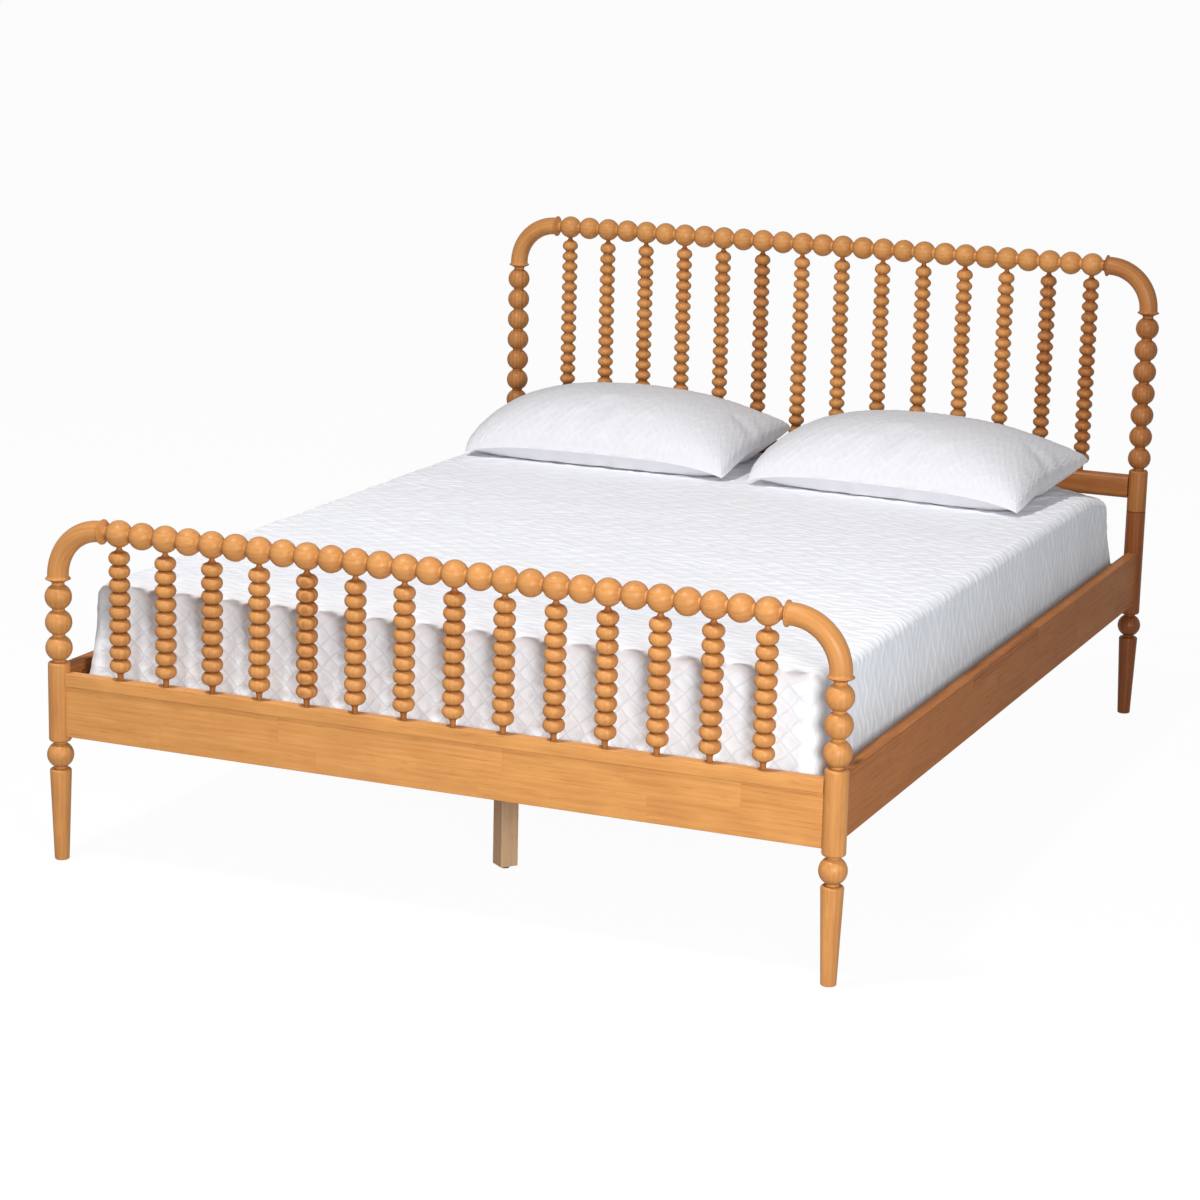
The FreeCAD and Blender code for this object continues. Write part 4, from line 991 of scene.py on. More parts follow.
def spindle_pattern(spindles, height, beads, bead_diameter, next_bead):
    """One spindle, with the seat of its peg at the origin."""
    waist = spindles.waist_diameter / 2
    first = spindles.base_length
    last = height - spindles.crown_length
    pitch = (last - first) / (beads - 1)
    tenon = spindles.tenon_diameter / 2
    peg = spindles.peg_diameter / 2
    outline = Outline(tenon, -spindles.tenon_length)
    outline.line(tenon, 0.0)
    outline.line(peg, 0.0)
    outline.line(peg, spindles.peg_length)
    outline.sweep(waist, first - spindles.swell_height, "start")
    outline.sweep(bead_diameter / 2, first, "end")
    for i in range(beads - 1):
        next_bead(outline, spindles, first + i * pitch, pitch)
    outline.sweep(waist, last + spindles.swell_height, "start")
    outline.sweep(spindles.crown_neck_diameter / 2, height, "end")
    outline.line(tenon, height)
    outline.line(tenon, height + spindles.tenon_length)
    rings = outline_rings(outline, Vector(), ALONG_Z, ALONG_X, ALONG_Y)
    mesh = ring_mesh("spindle", rings, SPINDLE_CUTS, 0.0)
    # Painted shade in the grooves between the beads
    crevice = np.zeros(len(mesh.vertices))
    crevice[:len(rings) * SPINDLE_CUTS] = np.repeat(groove_shade(rings), SPINDLE_CUTS)
    add_values(mesh, "crevice", crevice)
    return mesh


def spindle_row_mesh(name, spindles, beads, bead_diameter, next_bead, seed, tones, material):
    low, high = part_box(name)
    seat = low.z + spindles.tenon_length
    height = high.z - spindles.tenon_length - seat
    first = low.x + bead_diameter / 2
    pitch = (high.x - low.x - bead_diameter) / (spindles.count - 1)
    pattern = spindle_pattern(spindles, height, beads, bead_diameter, next_bead)
    mesh = row_mesh(name, pattern, material, {
        "Count": spindles.count, "Pitch": pitch, "First place": (first, (low.y + high.y) / 2, seat),
        "Turn": math.tau, "Seed": seed})
    number = np.round((mesh_points(mesh)[:, 0] - first) / pitch).astype(int)
    add_values(mesh, "tone", np.array(tones)[number % len(tones)])
    smooth(mesh)
    return mesh


def rounded_bar_mesh(name, rounding, tone):
    """Bar along X with its four long edges rounded, in the place of the node of its name."""
    low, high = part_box(name)
    corners = [(high.y, high.z, 0), (low.y, high.z, 1), (low.y, low.z, 2), (high.y, low.z, 3)]
    section = []
    for y, z, quarter in corners:
        hub_y = y - math.copysign(rounding, y - (low.y + high.y) / 2)
        hub_z = z - math.copysign(rounding, z - (low.z + high.z) / 2)
        for i in range(RAIL_EDGE_CUTS + 1):
            angle = (quarter + i / RAIL_EDGE_CUTS) * math.pi / 2
            section.append((hub_y + rounding * math.cos(angle), hub_z + rounding * math.sin(angle)))
    points = [(x, y, z) for x in (low.x, high.x) for y, z in section]
    count = len(section)
    faces = [tuple(range(count)), tuple(range(count, 2 * count))]
    faces.extend((i, (i + 1) % count, count + (i + 1) % count, count + i) for i in range(count))
    mesh = new_mesh(name, points, faces)
    turn_faces_out(mesh)
    middle = np.array((0.0, (low.y + high.y) / 2, (low.z + high.z) / 2))
    add_grain(mesh, np.array(points) - middle, tone)
    smooth(mesh)
    return mesh


# Mattress and pillows


def soft_noise(x, y, size, seed):
    """Smooth unevenness from -1 to 1, made of a few waves of about the given size that cross each other."""
    random = np.random.default_rng(seed)
    total = np.zeros_like(x)
    for _ in range(7):
        heading = random.uniform(0, math.tau)
        wave = size * random.uniform(0.7, 1.5)
        start = random.uniform(0, math.tau)
        total += np.sin((x * math.cos(heading) + y * math.sin(heading)) * math.tau / wave + start)
    return total / 4.0


def ridge(gap, width):
    """Height of a narrow ridge at a distance from its middle line, 1 on the line and 0 well away from it."""
    return np.exp(-(gap / width) ** 2)


def swaying_ridges(linen, along, across, scale=1.0):
    """Height of the quilting's ridges, from 0 in a hollow to 1 on a ridge. Each ridge sways on its own."""
    pitch = linen.ridge_pitch * scale
    wave = linen.ridge_wave * scale
    starts = np.random.default_rng(RIDGE_SEEDS["start"]).uniform(0, math.tau, RIDGE_STARTS)
    drift = along + RIDGE_DRIFT * soft_noise(along, across, 0.35, RIDGE_SEEDS["drift"])
    number = np.round(drift / pitch).astype(int)
    bend = RIDGE_BEND * soft_noise(along, across, 0.22, RIDGE_SEEDS["bend"])
    height = np.zeros_like(along)
    for line in (number - 1, number, number + 1):
        swing = math.tau * across / wave + starts[line % len(starts)] + bend
        lean = linen.ridge_sway * scale * math.tau / wave * np.cos(swing)
        gap = drift - line * pitch - linen.ridge_sway * scale * np.sin(swing)
        height = np.maximum(height, ridge(gap, linen.ridge_width * scale * np.sqrt(1 + lean ** 2)))
    fade = np.clip(0.7 + 0.45 * soft_noise(along, across, 0.05, RIDGE_SEEDS["fade"]), 0.2, 1)
    return height * fade


def diamond_ridges(linen, across, down):
    """Height of the crossing ridges between the diamonds of the end faces."""
    height = np.zeros_like(across)
    for lean in (-1, 1):
        sway = DIAMOND_SWAY * soft_noise(across, down, 0.11, DIAMOND_SEEDS["sway"] + lean)
        phase = (across + lean * down) / linen.diamond + sway
        gap = (phase - np.round(phase)) * linen.diamond / math.sqrt(2)
        height = np.maximum(height, ridge(gap, linen.ridge_width))
    fade = np.clip(0.8 + 0.35 * soft_noise(across, down, 0.04, DIAMOND_SEEDS["fade"]), 0.3, 1)
    return height * fade


def mattress_levels(linen, low_z, high_z):
    """Reach, height, distance down the cover and share of the side of each line round the mattress."""
    edge = linen.edge_round
    foot = linen.foot_round
    roll_lines, side_lines, foot_lines = MATTRESS_LINES
    levels = []
    for angle in np.linspace(0, math.pi / 2, roll_lines)[1:]:
        levels.append((edge * math.sin(angle), high_z - edge * (1 - math.cos(angle)), edge * angle, 0.0))
    rolled = levels[-1][2]
    side = high_z - edge - low_z - foot
    for part in np.linspace(0, 1, side_lines)[1:]:
        reach = edge + linen.top_inset * part - linen.side_draw * math.sin(math.pi * part)
        levels.append((reach, high_z - edge - side * part, rolled + side * part, part))
    for angle in np.linspace(0, math.pi / 2, foot_lines)[1:]:
        reach = edge + linen.top_inset - foot * (1 - math.cos(angle))
        levels.append((reach, low_z + foot * (1 - math.sin(angle)), rolled + side + foot * angle, 1.0))
    return levels


def rounded_plan(half_x, half_y, corner, columns, rows):
    """Grid over a rectangle with rounded corners, and the outward direction at each point near its rim."""
    x, y = np.meshgrid(np.linspace(-half_x, half_x, columns + 1), np.linspace(-half_y, half_y, rows + 1))
    into_x = np.clip((np.abs(x) - half_x) / corner + 1, 0, 1)
    into_y = np.clip((np.abs(y) - half_y) / corner + 1, 0, 1)
    round_x = np.sign(x) * into_x * np.sqrt(1 - into_y ** 2 / 2)
    round_y = np.sign(y) * into_y * np.sqrt(1 - into_x ** 2 / 2)
    plan_x = np.clip(x, corner - half_x, half_x - corner) + corner * round_x
    plan_y = np.clip(y, corner - half_y, half_y - corner) + corner * round_y
    return plan_x, plan_y, round_x, round_y


def grid_quads(index):
    """Faces of a grid of points, from the points' numbers."""
    return np.stack([index[:-1, :-1], index[:-1, 1:], index[1:, 1:], index[1:, :-1]], axis=-1).reshape(-1, 4)


def mattress_mesh(name, linen):
    """Covered mattress: a flat field, a rolled edge, drawn-in sides and a flat base, quilted all over."""
    low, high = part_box("mattress")
    middle = (low + high) / 2
    inset = linen.edge_round + linen.top_inset
    plan = rounded_plan((high.x - low.x) / 2 - inset, (high.y - low.y) / 2 - inset,
                        linen.corner - linen.edge_round, *MATTRESS_GRID)
    index = np.arange(plan[0].size).reshape(plan[0].shape)
    rim = np.concatenate([index[0, :-1], index[:-1, -1], index[-1, :0:-1], index[:0:-1, 0]])
    plan_x, plan_y, out_x, out_y = (values.ravel() for values in plan)
    rim_x, rim_y, out_x, out_y = plan_x[rim], plan_y[rim], out_x[rim], out_y[rim]
    out_x, out_y = out_x / np.hypot(out_x, out_y), out_y / np.hypot(out_x, out_y)
    flat = np.zeros(plan_x.size)
    lines = [(plan_x, plan_y, flat + high.z, plan_x, plan_y, flat, flat, flat)]
    endwise = np.clip((np.abs(out_y) - END_START) / END_FADE, 0, 1)
    turned = np.arctan2(np.abs(out_y), np.abs(out_x))
    for reach, z, down, part in mattress_levels(linen, low.z, high.z):
        level = np.full(len(rim), down)
        reach = reach * (1 + CORNER_STRETCH * part * np.sin(2 * turned))
        lines.append((rim_x + out_x * reach, rim_y + out_y * reach, np.full(len(rim), z),
                      rim_x + np.sign(rim_x) * down * (1 - endwise), rim_y + np.sign(rim_y) * down * endwise,
                      level, endwise, turned))
    x, y, z, across, along, down, endwise, turned = (np.concatenate(values) for values in zip(*lines))
    corner_gap = np.hypot(np.abs(x) - (high.x - middle.x), y - (high.y - middle.y))
    z -= linen.head_sag * ridge(corner_gap, SAG_REACH) * (z - low.z) / (high.z - low.z)
    points = np.stack([x + middle.x, y + middle.y, z], axis=1)
    faces = grid_quads(index).tolist()
    before = rim
    for number in range(len(lines) - 1):
        after = np.arange(len(rim)) + index.size + number * len(rim)
        faces += np.stack([before, after, np.roll(after, -1), np.roll(before, -1)], axis=1).tolist()
        before = after
    faces.append(before.tolist())
    mesh = new_mesh(name, points.tolist(), faces)
    turn_faces_out(mesh)
    border = np.clip((down - BORDER_START) / BORDER_FADE, 0, 1)
    end_face = border * endwise
    long_side = border * (1 - endwise)
    raised = swaying_ridges(linen, along, across) * (1 - end_face)
    raised += diamond_ridges(linen, across, down) * end_face
    sunk = linen.ridge_height * (1 - SIDE_FLATNESS * long_side) * (1 - raised)
    sunk += linen.unevenness * (1 + soft_noise(along, across, FILLING_WAVE, FILLING_SEED))
    gathered = ridge(turned - math.pi / 4, GATHER_ANGLE) * (down > 0)
    gathered *= np.clip(1.3 - down / GATHER_LENGTH, 0, 1)
    sunk += GATHER_DEPTH * gathered * (1 + np.sin(turned * GATHER_COUNT))
    sunk *= np.clip((points[:, 2] - low.z) / BASE_FADE, 0, 1)
    points -= read_vectors(mesh.vertex_normals, "vector") * sunk[:, None]
    points[:, 2] = np.maximum(points[:, 2], low.z + BASE_GAP)
    move_points(mesh, points)
    add_values(mesh, "cloth", np.stack([across, along, down], axis=1))
    # Where the cover gets painted shade in the quilting's hollows
    add_values(mesh, "hollow", 1 - raised)
    # The border mask drives the cool tint of painted light on the sides
    add_values(mesh, "border", border)
    add_values(mesh, "end_face", end_face)
    smooth(mesh, SHARP_COVER_ANGLE)
    return mesh


def crowd_to_rim(places):
    """Places from -1 to 1, moved to lie closer together near the rim."""
    return (1 - CASE_CROWDING) * places + CASE_CROWDING * np.sin(math.pi / 2 * places)


def plump_case(linen, columns, rows):
    """Pillow case cut to its plump shape, its seam at height 0.

    Side is 1 for points above the seam, 0 on it and -1 below it. Endwise and frontwise run from -1 to 1
    over the case, and flat holds the same places on the flat cloth.
    """
    u, v = np.meshgrid(np.linspace(-1, 1, columns + 1), np.linspace(-1, 1, rows + 1))
    endwise = crowd_to_rim(u)
    frontwise = crowd_to_rim(v)
    corner = endwise * frontwise
    blunt = 1 - np.where(frontwise < 0, FRONT_BLUNTNESS, BACK_BLUNTNESS) * corner ** 6
    x = linen.pillow_width / 2 * blunt * endwise * (END_STRETCH - END_HOLLOW * (1 - frontwise ** 2))
    y = linen.pillow_depth / 2 * blunt * frontwise * (1 - FRONT_HOLLOW * (1 - endwise ** 2))
    slope = np.clip((1 - np.abs(endwise) ** CASE_POWER) * (1 - np.abs(frontwise) ** CASE_POWER), 0, 1)
    fullness = slope ** (CASE_FULLNESS - CORNER_FULLNESS * corner ** 2)
    above = (linen.pillow_height - linen.pillow_seam) * fullness
    below = -linen.pillow_seam * np.clip(UNDER_FULLNESS * fullness ** 2, 0, 1)
    index = np.arange(u.size).reshape(u.shape)
    inner = np.zeros_like(u, dtype=bool)
    inner[1:-1, 1:-1] = True
    under = index.copy()
    under[inner] = u.size + np.arange(inner.sum())
    faces = []
    for panel, order in ((index, 1), (under, -1)):
        faces += grid_quads(panel)[:, ::order].tolist()
    side = np.concatenate([np.where(inner, 1.0, 0.0).ravel(), -np.ones(inner.sum())])
    both = [np.concatenate([values.ravel(), values[inner]]) for values in (x, y, endwise, frontwise, u, v)]
    x, y, endwise, frontwise, u, v = both
    points = np.stack([x, y, np.concatenate([above.ravel(), below[inner]])], axis=1)
    flat_x = u * linen.pillow_width * FLAT_CLOTH[0]
    flat_y = v * linen.pillow_depth * FLAT_CLOTH[1]
    flat = np.stack([flat_x, flat_y, side], axis=1)
    return points, faces, side, endwise, frontwise, flat


def settle_case(points, faces, tightness, frames):
    """Cloth simulation of a filled case whose seam is drawn tight, and where its points come to rest."""
    scene = bpy.context.scene
    case = show("pillow_case", new_mesh("pillow_case", points.tolist(), faces))
    seam = case.vertex_groups.new(name="seam")
    for number, value in enumerate(tightness):
        seam.add([number], float(value), "REPLACE")
    cloth = case.modifiers.new("cloth", "CLOTH")
    for name, value in CASE_CLOTH.items():
        setattr(cloth.settings, name, value)
    cloth.settings.vertex_group_shrink = seam.name
    cloth.settings.effector_weights.gravity = 0.0
    cloth.collision_settings.use_collision = False
    cloth.point_cache.frame_start = 1
    cloth.point_cache.frame_end = frames
    for number in range(1, frames + 1):
        scene.frame_set(number)
    depsgraph = bpy.context.evaluated_depsgraph_get()
    settled = mesh_points(case.evaluated_get(depsgraph).to_mesh())
    bpy.data.objects.remove(case)
    scene.frame_set(1)
    return settled


def even_out(points, faces, side, rounds):
    """Eases folds away: each point moves towards its neighbours, a point of the seam only along the seam."""
    quads = np.array(faces)
    edges = np.concatenate([quads[:, [i, (i + 1) % 4]] for i in range(4)])
    edges = np.unique(np.sort(edges, axis=1), axis=0)
    pairs = np.concatenate([edges, edges[:, ::-1]])
    seam = side == 0
    pairs = pairs[~seam[pairs[:, 0]] | seam[pairs[:, 1]]]
    count = np.bincount(pairs[:, 0], minlength=len(points))[:, None]
    for _ in range(rounds):
        total = np.zeros_like(points)
        np.add.at(total, pairs[:, 0], points[pairs[:, 1]])
        points = points + 0.5 * (total / count - points)
    return points


def filled_pillow(linen, columns, rows):
    """Points of a filled pillow with its seam at height 0, laid down flat on its underside.

    The puckers along the seam come from the simulation. They fade out towards the corners.
    """
    points, faces, side, endwise, frontwise, flat = plump_case(linen, columns, rows)
    from_end = (1 - np.abs(endwise)) * linen.pillow_width / 2
    from_front = (1 - np.abs(frontwise)) * linen.pillow_depth / 2
    tightness = ridge(np.minimum(from_end, from_front), SEAM_REACH)
    settled = even_out(settle_case(points, faces, tightness, CASE_FRAMES), faces, side, FOLD_ROUNDS)
    puckers = settled - even_out(settled, faces, side, FORM_ROUNDS)
    kept = np.clip(1.4 - 2.2 * np.abs(endwise * frontwise), 0, 1)
    points = points + PUCKER_SHARE * np.clip(puckers, -PUCKER_LIMIT, PUCKER_LIMIT) * kept[:, None]
    droop = (FRONT_DROOP + CORNER_DROOP * endwise ** 4) * np.clip(-frontwise, 0, 1) ** 2
    lift = BACK_LIFT * endwise ** 4 * np.clip(frontwise, 0, 1) ** 3
    points[:, 2] = np.maximum(points[:, 2] - linen.pillow_seam * (droop - lift), -linen.pillow_seam)
    return points, faces, side, flat


def crease_seam(mesh, side):
    """Keeps the sewn edge of a pillow case sharp when its mesh is made finer."""
    ends = np.empty(len(mesh.edges) * 2, dtype=np.int32)
    mesh.edges.foreach_get("vertices", ends)
    sewn = (side[ends.reshape(-1, 2)] == 0).all(axis=1)
    crease = mesh.attributes.new("crease_edge", "FLOAT", "EDGE")
    crease.data.foreach_set("value", sewn.astype(np.float32))


def pillow_mesh(name, node, linen, filled, turn):
    """Filled pillow on the mattress: crowned above its seam, flattened below, its top panel quilted."""
    low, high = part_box(node)
    points, faces, side, flat = filled
    mesh = new_mesh(name, points.tolist(), faces)
    add_values(mesh, "cloth", flat)
    crease_seam(mesh, side)
    draft = show(f"{name}_draft", mesh)
    finer = draft.modifiers.new("finer", "SUBSURF")
    finer.levels = 1
    finer.render_levels = 1
    mesh = plain_mesh(name, draft)
    bpy.data.objects.remove(draft)
    turn_faces_out(mesh)
    points = mesh_points(mesh)
    cloth = read_vectors(mesh.attributes["cloth"].data, "vector")
    on_top = np.clip(cloth[:, 2], 0, 1)
    raised = swaying_ridges(linen, cloth[:, 0] + low.x, cloth[:, 1], PILLOW_RIDGE_SCALE) * on_top
    sunk = (on_top - raised) * linen.ridge_height * PILLOW_RIDGE_SHARE
    points -= read_vectors(mesh.vertex_normals, "vector") * sunk[:, None]
    top, base = points[:, 2].max(), points[:, 2].min()
    points[:, 2] = (points[:, 2] - base) * (high.z - low.z) / (top - base)
    spin = np.array(Matrix.Rotation(turn, 3, "Z"))
    middle = (low + high) / 2
    move_points(mesh, points @ spin.T + np.array((middle.x, middle.y, low.z + PILLOW_GAP)))
    # Where the case gets painted shade in the quilting's hollows
    add_values(mesh, "hollow", on_top - raised)
    smooth(mesh, SHARP_CASE_ANGLE)
    return mesh


# Operators, one for each kind of piece


class BED_OT_stage(bpy.types.Operator):
    """Set up the camera, the lamps, the white world and the pale floor."""

    bl_idname = "bed.stage"
    bl_label = "Stage"

    def execute(self, context):
        scene = context.scene
        stage = scene.bed_stage
        scene.view_settings.view_transform = "Standard"
        camera = bpy.data.objects.new("camera", bpy.data.cameras.new("camera"))
        camera.location = stage.camera_place
        camera.rotation_euler = stage.camera_turn
        camera.data.lens = stage.lens
        camera.data.sensor_width = FILM_WIDTH
        camera.data.clip_end = VIEW_DEPTH
        scene.collection.objects.link(camera)
        scene.camera = camera
        for name, settings in LAMPS.items():
            self.lamp(scene, name, getattr(stage, f"{name}_power"), *settings)
        self.world(scene, stage)
        self.floor(stage)
        return {"FINISHED"}

    def lamp(self, scene, name, strength, size, place, aim):
        light = bpy.data.lights.new(name, "AREA")
        light.shape = "DISK"
        light.size = size
        light.energy = strength
        lamp = bpy.data.objects.new(name, light)
        lamp.location = place
        lamp.rotation_euler = (Vector(aim) - Vector(place)).to_track_quat("-Z", "Y").to_euler()
        scene.collection.objects.link(lamp)

    def seen(self, tree):
        """Rays that see the white background: from the camera, from gloss and through glass."""
        path = tree.nodes.new("ShaderNodeLightPath").outputs
        mirrored = maths(tree, "MAXIMUM", path["Is Glossy Ray"], path["Is Transmission Ray"])
        return maths(tree, "MAXIMUM", path["Is Camera Ray"], mirrored)

    def world(self, scene, stage):
        world = bpy.data.worlds.new("studio")
        scene.world = world
        tree = empty_tree(world)
        even = add_node(tree, "ShaderNodeBackground", {"Color": WHITE, "Strength": stage.sky})
        white = add_node(tree, "ShaderNodeBackground", {"Color": WHITE, "Strength": 1.0})
        seen = self.seen(tree)
        both = add_node(tree, "ShaderNodeMixShader", {0: seen, 1: even.outputs[0], 2: white.outputs[0]})
        add_node(tree, "ShaderNodeOutputWorld", {"Surface": both.outputs[0]})

    def floor(self, stage):
        corners = [(x * FLOOR_REACH, y * FLOOR_REACH, 0) for x, y in ((-1, -1), (1, -1), (1, 1), (-1, 1))]
        mesh = new_mesh("floor", corners, [(0, 1, 2, 3)])
        material = bpy.data.materials.new("studio_floor")
        tree = empty_tree(material)
        seen = self.seen(tree)
        tint = mix_colours(tree, seen, rgba(stage.floor), SEEN_FLOOR)
        paper = add_node(tree, "ShaderNodeBsdfDiffuse", {"Color": tint})
        white = add_node(tree, "ShaderNodeEmission", {"Color": WHITE, "Strength": 1.0})
        lifted = maths(tree, "MULTIPLY", seen, stage.floor_white)
        both = add_node(tree, "ShaderNodeMixShader", {0: lifted, 1: paper.outputs[0], 2: white.outputs[0]})
        add_node(tree, "ShaderNodeOutputMaterial", {"Surface": both.outputs[0]})
        show("floor", mesh, material)


class BED_OT_posts(bpy.types.Operator):
    """Turn the foot posts, the head legs and the head posts."""

    bl_idname = "bed.posts"
    bl_label = "Posts"

    def execute(self, context):
        turning = context.scene.bed_turning
        material = turned_wood(context.scene.bed_wood)
        barrel = turning.post_diameter / 2
        ease = turning.post_joint_ease
        for side in SIDES:
            foot = leg_outline(turning)
            barrel_top = barrel_base(turning) + turning.foot_barrel
            string_of_balls(foot, turning, barrel_top, turning.foot_post_balls)
            turned_post(f"foot_post_{side}", foot, material)
            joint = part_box(f"head_leg_{side}")[1].z
            leg = leg_outline(turning)
            leg.line(barrel, joint - 2 * JOINT_LINE)
            leg.line(barrel, joint - ease)
            leg.line(barrel - ease, joint)
            turned_post(f"head_leg_{side}", leg, material, joint)
            post = Outline(barrel - ease, joint)
            post.line(barrel, joint + ease)
            post.line(barrel, joint + 2 * JOINT_LINE)
            string_of_balls(post, turning, joint + turning.head_barrel, turning.head_post_balls)
            turned_post(f"head_post_{side}", post, material, joint)
        return {"FINISHED"}


class BED_OT_elbows(bpy.types.Operator):
    """Bend the four elbows that join the posts to the top rails."""

    bl_idname = "bed.elbows"
    bl_label = "Elbows"

    def execute(self, context):
        turning = context.scene.bed_turning
        material = turned_wood(context.scene.bed_wood)
        for end in ENDS:
            for side, sign in SIDES.items():
                name = f"{end}_elbow_{side}"
                rail_low, rail_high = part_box(f"{end}_top_rail")
                post = middle_of(f"{end}_post_{side}")
                post_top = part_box(f"{end}_post_{side}")[1].z
                rail_end = rail_high.x if sign > 0 else rail_low.x
                reach = abs(post.x - rail_end)
                place = Vector((rail_end, post.y, post_top))
                rings = [(place + centre, *rest) for centre, *rest in elbow_rings(turning, sign, reach)]
                mesh = ring_mesh(name, rings, ROUND_CUTS, PIECE_TONES_AND_SHADE[name])
                dress(show(f"{name}_turned", mesh, material), "bed_frame", "stained_wood", name)
        return {"FINISHED"}


class BED_OT_top_rails(bpy.types.Operator):
    """Turn the two top rails, each a row of balls."""

    bl_idname = "bed.top_rails"
    bl_label = "Top rails"

    def execute(self, context):
        turning = context.scene.bed_turning
        material = turned_wood(context.scene.bed_wood)
        for end in ENDS:
            name = f"{end}_top_rail"
            mesh = top_rail_mesh(name, turning, PIECE_TONES_AND_SHADE[name], material)
            dress(show(f"{name}_turned", mesh), "bed_frame", "stained_wood", name)
        return {"FINISHED"}


class BED_OT_spindles(bpy.types.Operator):
    """Turn the rows of spindles in the footboard and the headboard."""

    bl_idname = "bed.spindles"
    bl_label = "Spindles"

    def execute(self, context):
        spindles = context.scene.bed_spindles
        material = turned_wood(context.scene.bed_wood)
        foot = (spindles.foot_beads, spindles.foot_bead_diameter, round_beads, spindles.foot_seed)
        head = (spindles.head_beads, spindles.head_bead_diameter, lozenge_beads, spindles.head_seed)
        for end, kind in zip(ENDS, (foot, head)):
            name = f"{end}_spindles"
            mesh = spindle_row_mesh(name, spindles, *kind, SPINDLE_TONES[end], material)
            dress(show(f"{name}_turned", mesh), "bed_frame", "stained_wood", name)
        return {"FINISHED"}


class BED_OT_boards(bpy.types.Operator):
    """Round the headboard's lower rail and stain the flat boards."""

    bl_idname = "bed.boards"
    bl_label = "Boards"

    def execute(self, context):
        wood = context.scene.bed_wood
        name = "head_lower_rail"
        mesh = rounded_bar_mesh(name, wood.rail_round, PIECE_TONES_AND_SHADE[name])
        dress(show(f"{name}_rounded", mesh, turned_wood(wood)), "bed_frame", "stained_wood", name)
        stave = (wood.stave_length, wood.stave_width)
        honey = (wood.board_light, wood.board_dark)
        brown = (wood.rail_light, wood.rail_dark)
        self.stain("foot_panel", honey, "XZY", stave, 0.0, HONEY_GLOSS)
        self.stain("foot_cap_rail", honey, "XZY", None, -0.3, HONEY_GLOSS)
        self.stain("head_cross_rail", honey, "XZY", stave, 0.2, HONEY_GLOSS)
        for side in SIDES:
            self.stain(f"side_rail_{side}", brown, "YZX", stave, 0.2, DULL_GLOSS)
            self.stain(f"slat_cleat_{side}", brown, "YZX", None, 0.4, DULL_GLOSS)
        return {"FINISHED"}

    def stain(self, name, tones, axes, stave, tone, gloss):
        low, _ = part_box(name)
        material = board_wood(f"{name}_stain", *tones, axes, low, stave, tone, gloss)
        finish(frame["nodes"][name].data, material)


class BED_OT_base(bpy.types.Operator):
    """Finish the slats, the centre rail and its legs, the glides and the fasteners."""

    bl_idname = "bed.base"
    bl_label = "Slats and fittings"

    def execute(self, context):
        wood = context.scene.bed_wood
        steel = zinc_steel()
        plastic = glide_plastic()
        for number, subpart in enumerate(frame["record"]["subparts"]):
            name = subpart["node"]
            slot = subpart["material_slot"]
            mesh = frame["nodes"][name].data
            if slot == "zinc_steel":
                finish(mesh, steel)
            elif slot == "glide_plastic":
                finish(mesh, plastic)
            elif slot == "bare_wood":
                finish(mesh, self.bare_wood(name, wood, number))
        return {"FINISHED"}

    def bare_wood(self, name, wood, number):
        """Bare wood whose grain starts at its own place and whose tone is its own."""
        axes = "ZXY" if "leg" in name else "YZX" if "rail" in name else "XYZ"
        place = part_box(name)[0] - Vector((GRAIN_SHIFT * number, 0.0, 0.0))
        tone = BARE_TONES * math.sin(BARE_TONE_STEP * number)
        tones = (wood.bare_light, wood.bare_dark)
        return board_wood(f"{name}_bare", *tones, axes, place, None, tone, DULL_GLOSS)


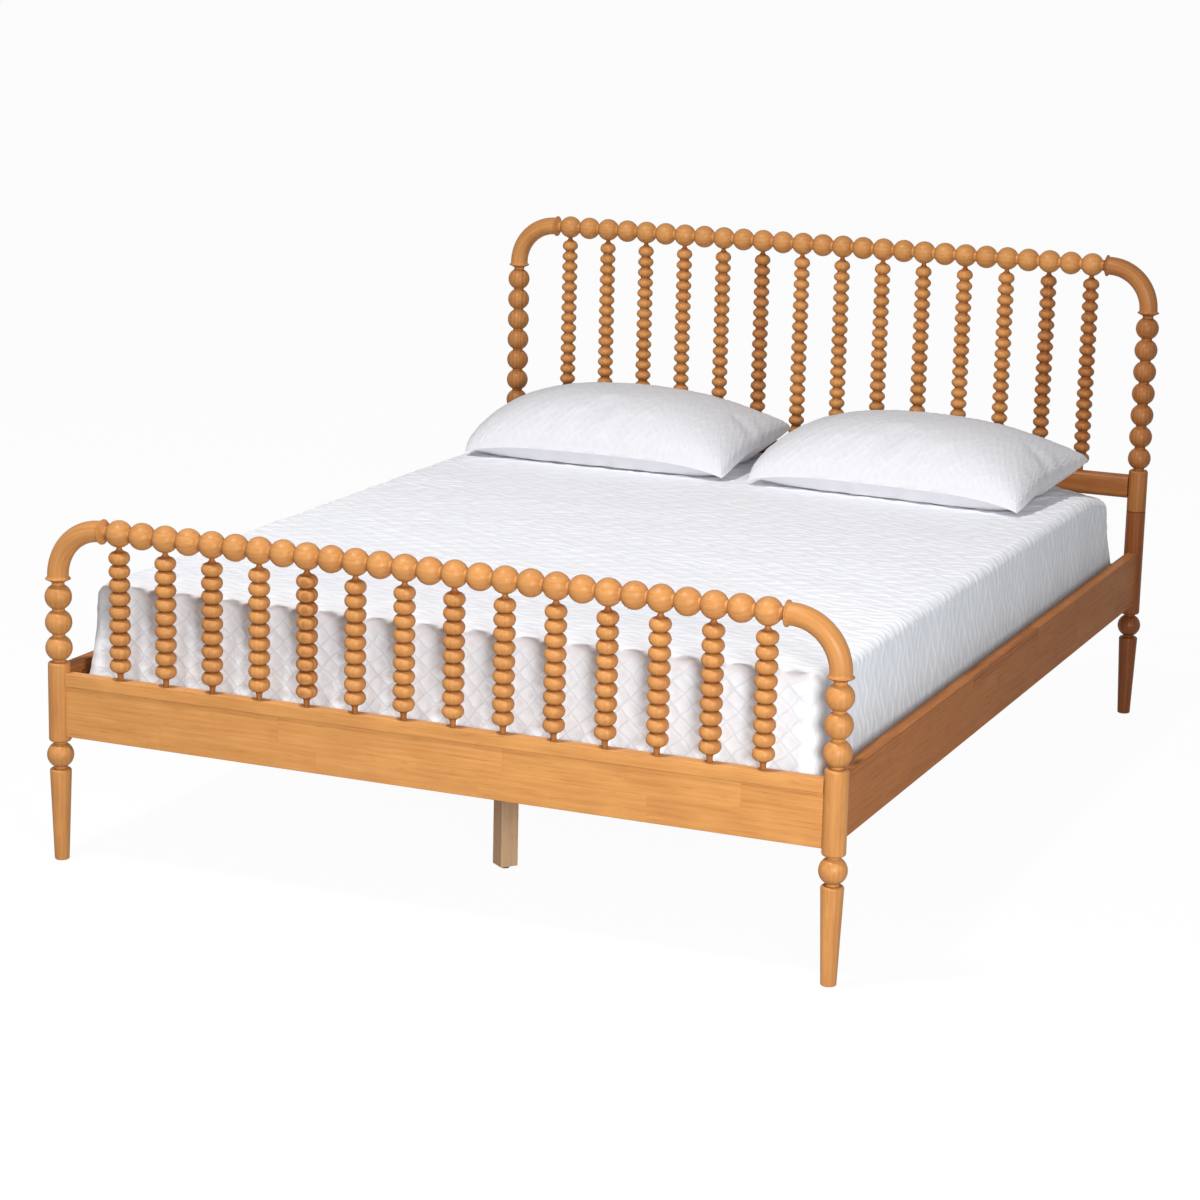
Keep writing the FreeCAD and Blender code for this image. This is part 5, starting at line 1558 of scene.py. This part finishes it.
class BED_OT_mattress(bpy.types.Operator):
    """Make the mattress in its quilted cover."""

    bl_idname = "bed.mattress"
    bl_label = "Mattress"

    def execute(self, context):
        linen = context.scene.bed_linen
        mesh = mattress_mesh("mattress_quilted", linen)
        material = quilted_cotton("mattress_cotton", linen.cover, linen.cover_shade, linen.diamond)
        piece = show("mattress_quilted", mesh, material)
        dress(piece, "mattress", "mattress_cover", "mattress")
        return {"FINISHED"}


class BED_OT_pillows(bpy.types.Operator):
    """Fill the two pillows and lay them on the mattress."""

    bl_idname = "bed.pillows"
    bl_label = "Pillows"

    def execute(self, context):
        linen = context.scene.bed_linen
        material = quilted_cotton("pillow_cotton", linen.pillow_cover, linen.pillow_shade, linen.diamond)
        filled = filled_pillow(linen, *PILLOW_GRID)
        for side, turn in PILLOW_TURNS.items():
            node = f"pillow_{side}"
            mesh = pillow_mesh(f"{node}_filled", node, linen, filled, turn)
            piece = dress(show(f"{node}_filled", mesh, material), node, "pillow_cover", node)
        return {"FINISHED"}


class BED_PT_panel(bpy.types.Panel):
    """Buttons for each kind of piece of the bed."""

    bl_idname = "BED_PT_panel"
    bl_label = "Bobbin-turned bed"
    bl_space_type = "VIEW_3D"
    bl_region_type = "UI"
    bl_category = "Bed"

    def draw(self, context):
        for operator in OPERATORS:
            self.layout.operator(operator.bl_idname)


GROUPS = {"bed_turning": BedTurning, "bed_spindles": BedSpindles, "bed_wood": BedWood, "bed_linen": BedLinen,
          "bed_stage": BedStage}
OPERATORS = (BED_OT_stage, BED_OT_posts, BED_OT_elbows, BED_OT_top_rails, BED_OT_spindles, BED_OT_boards,
             BED_OT_base, BED_OT_mattress, BED_OT_pillows)


def register():
    for name, group in GROUPS.items():
        bpy.utils.register_class(group)
        setattr(bpy.types.Scene, name, PointerProperty(type=group))
    for kind in (*OPERATORS, BED_PT_panel):
        bpy.utils.register_class(kind)


def unregister():
    for kind in (BED_PT_panel, *reversed(OPERATORS)):
        bpy.utils.unregister_class(kind)
    for name, group in reversed(GROUPS.items()):
        delattr(bpy.types.Scene, name)
        bpy.utils.unregister_class(group)


def main():
    register()
    bpy.ops.bed.stage()
    bpy.ops.bed.posts()
    bpy.ops.bed.elbows()
    bpy.ops.bed.top_rails()
    bpy.ops.bed.spindles()
    bpy.ops.bed.boards()
    bpy.ops.bed.base()
    bpy.ops.bed.mattress()
    bpy.ops.bed.pillows()


if __name__ == "__main__":
    main()
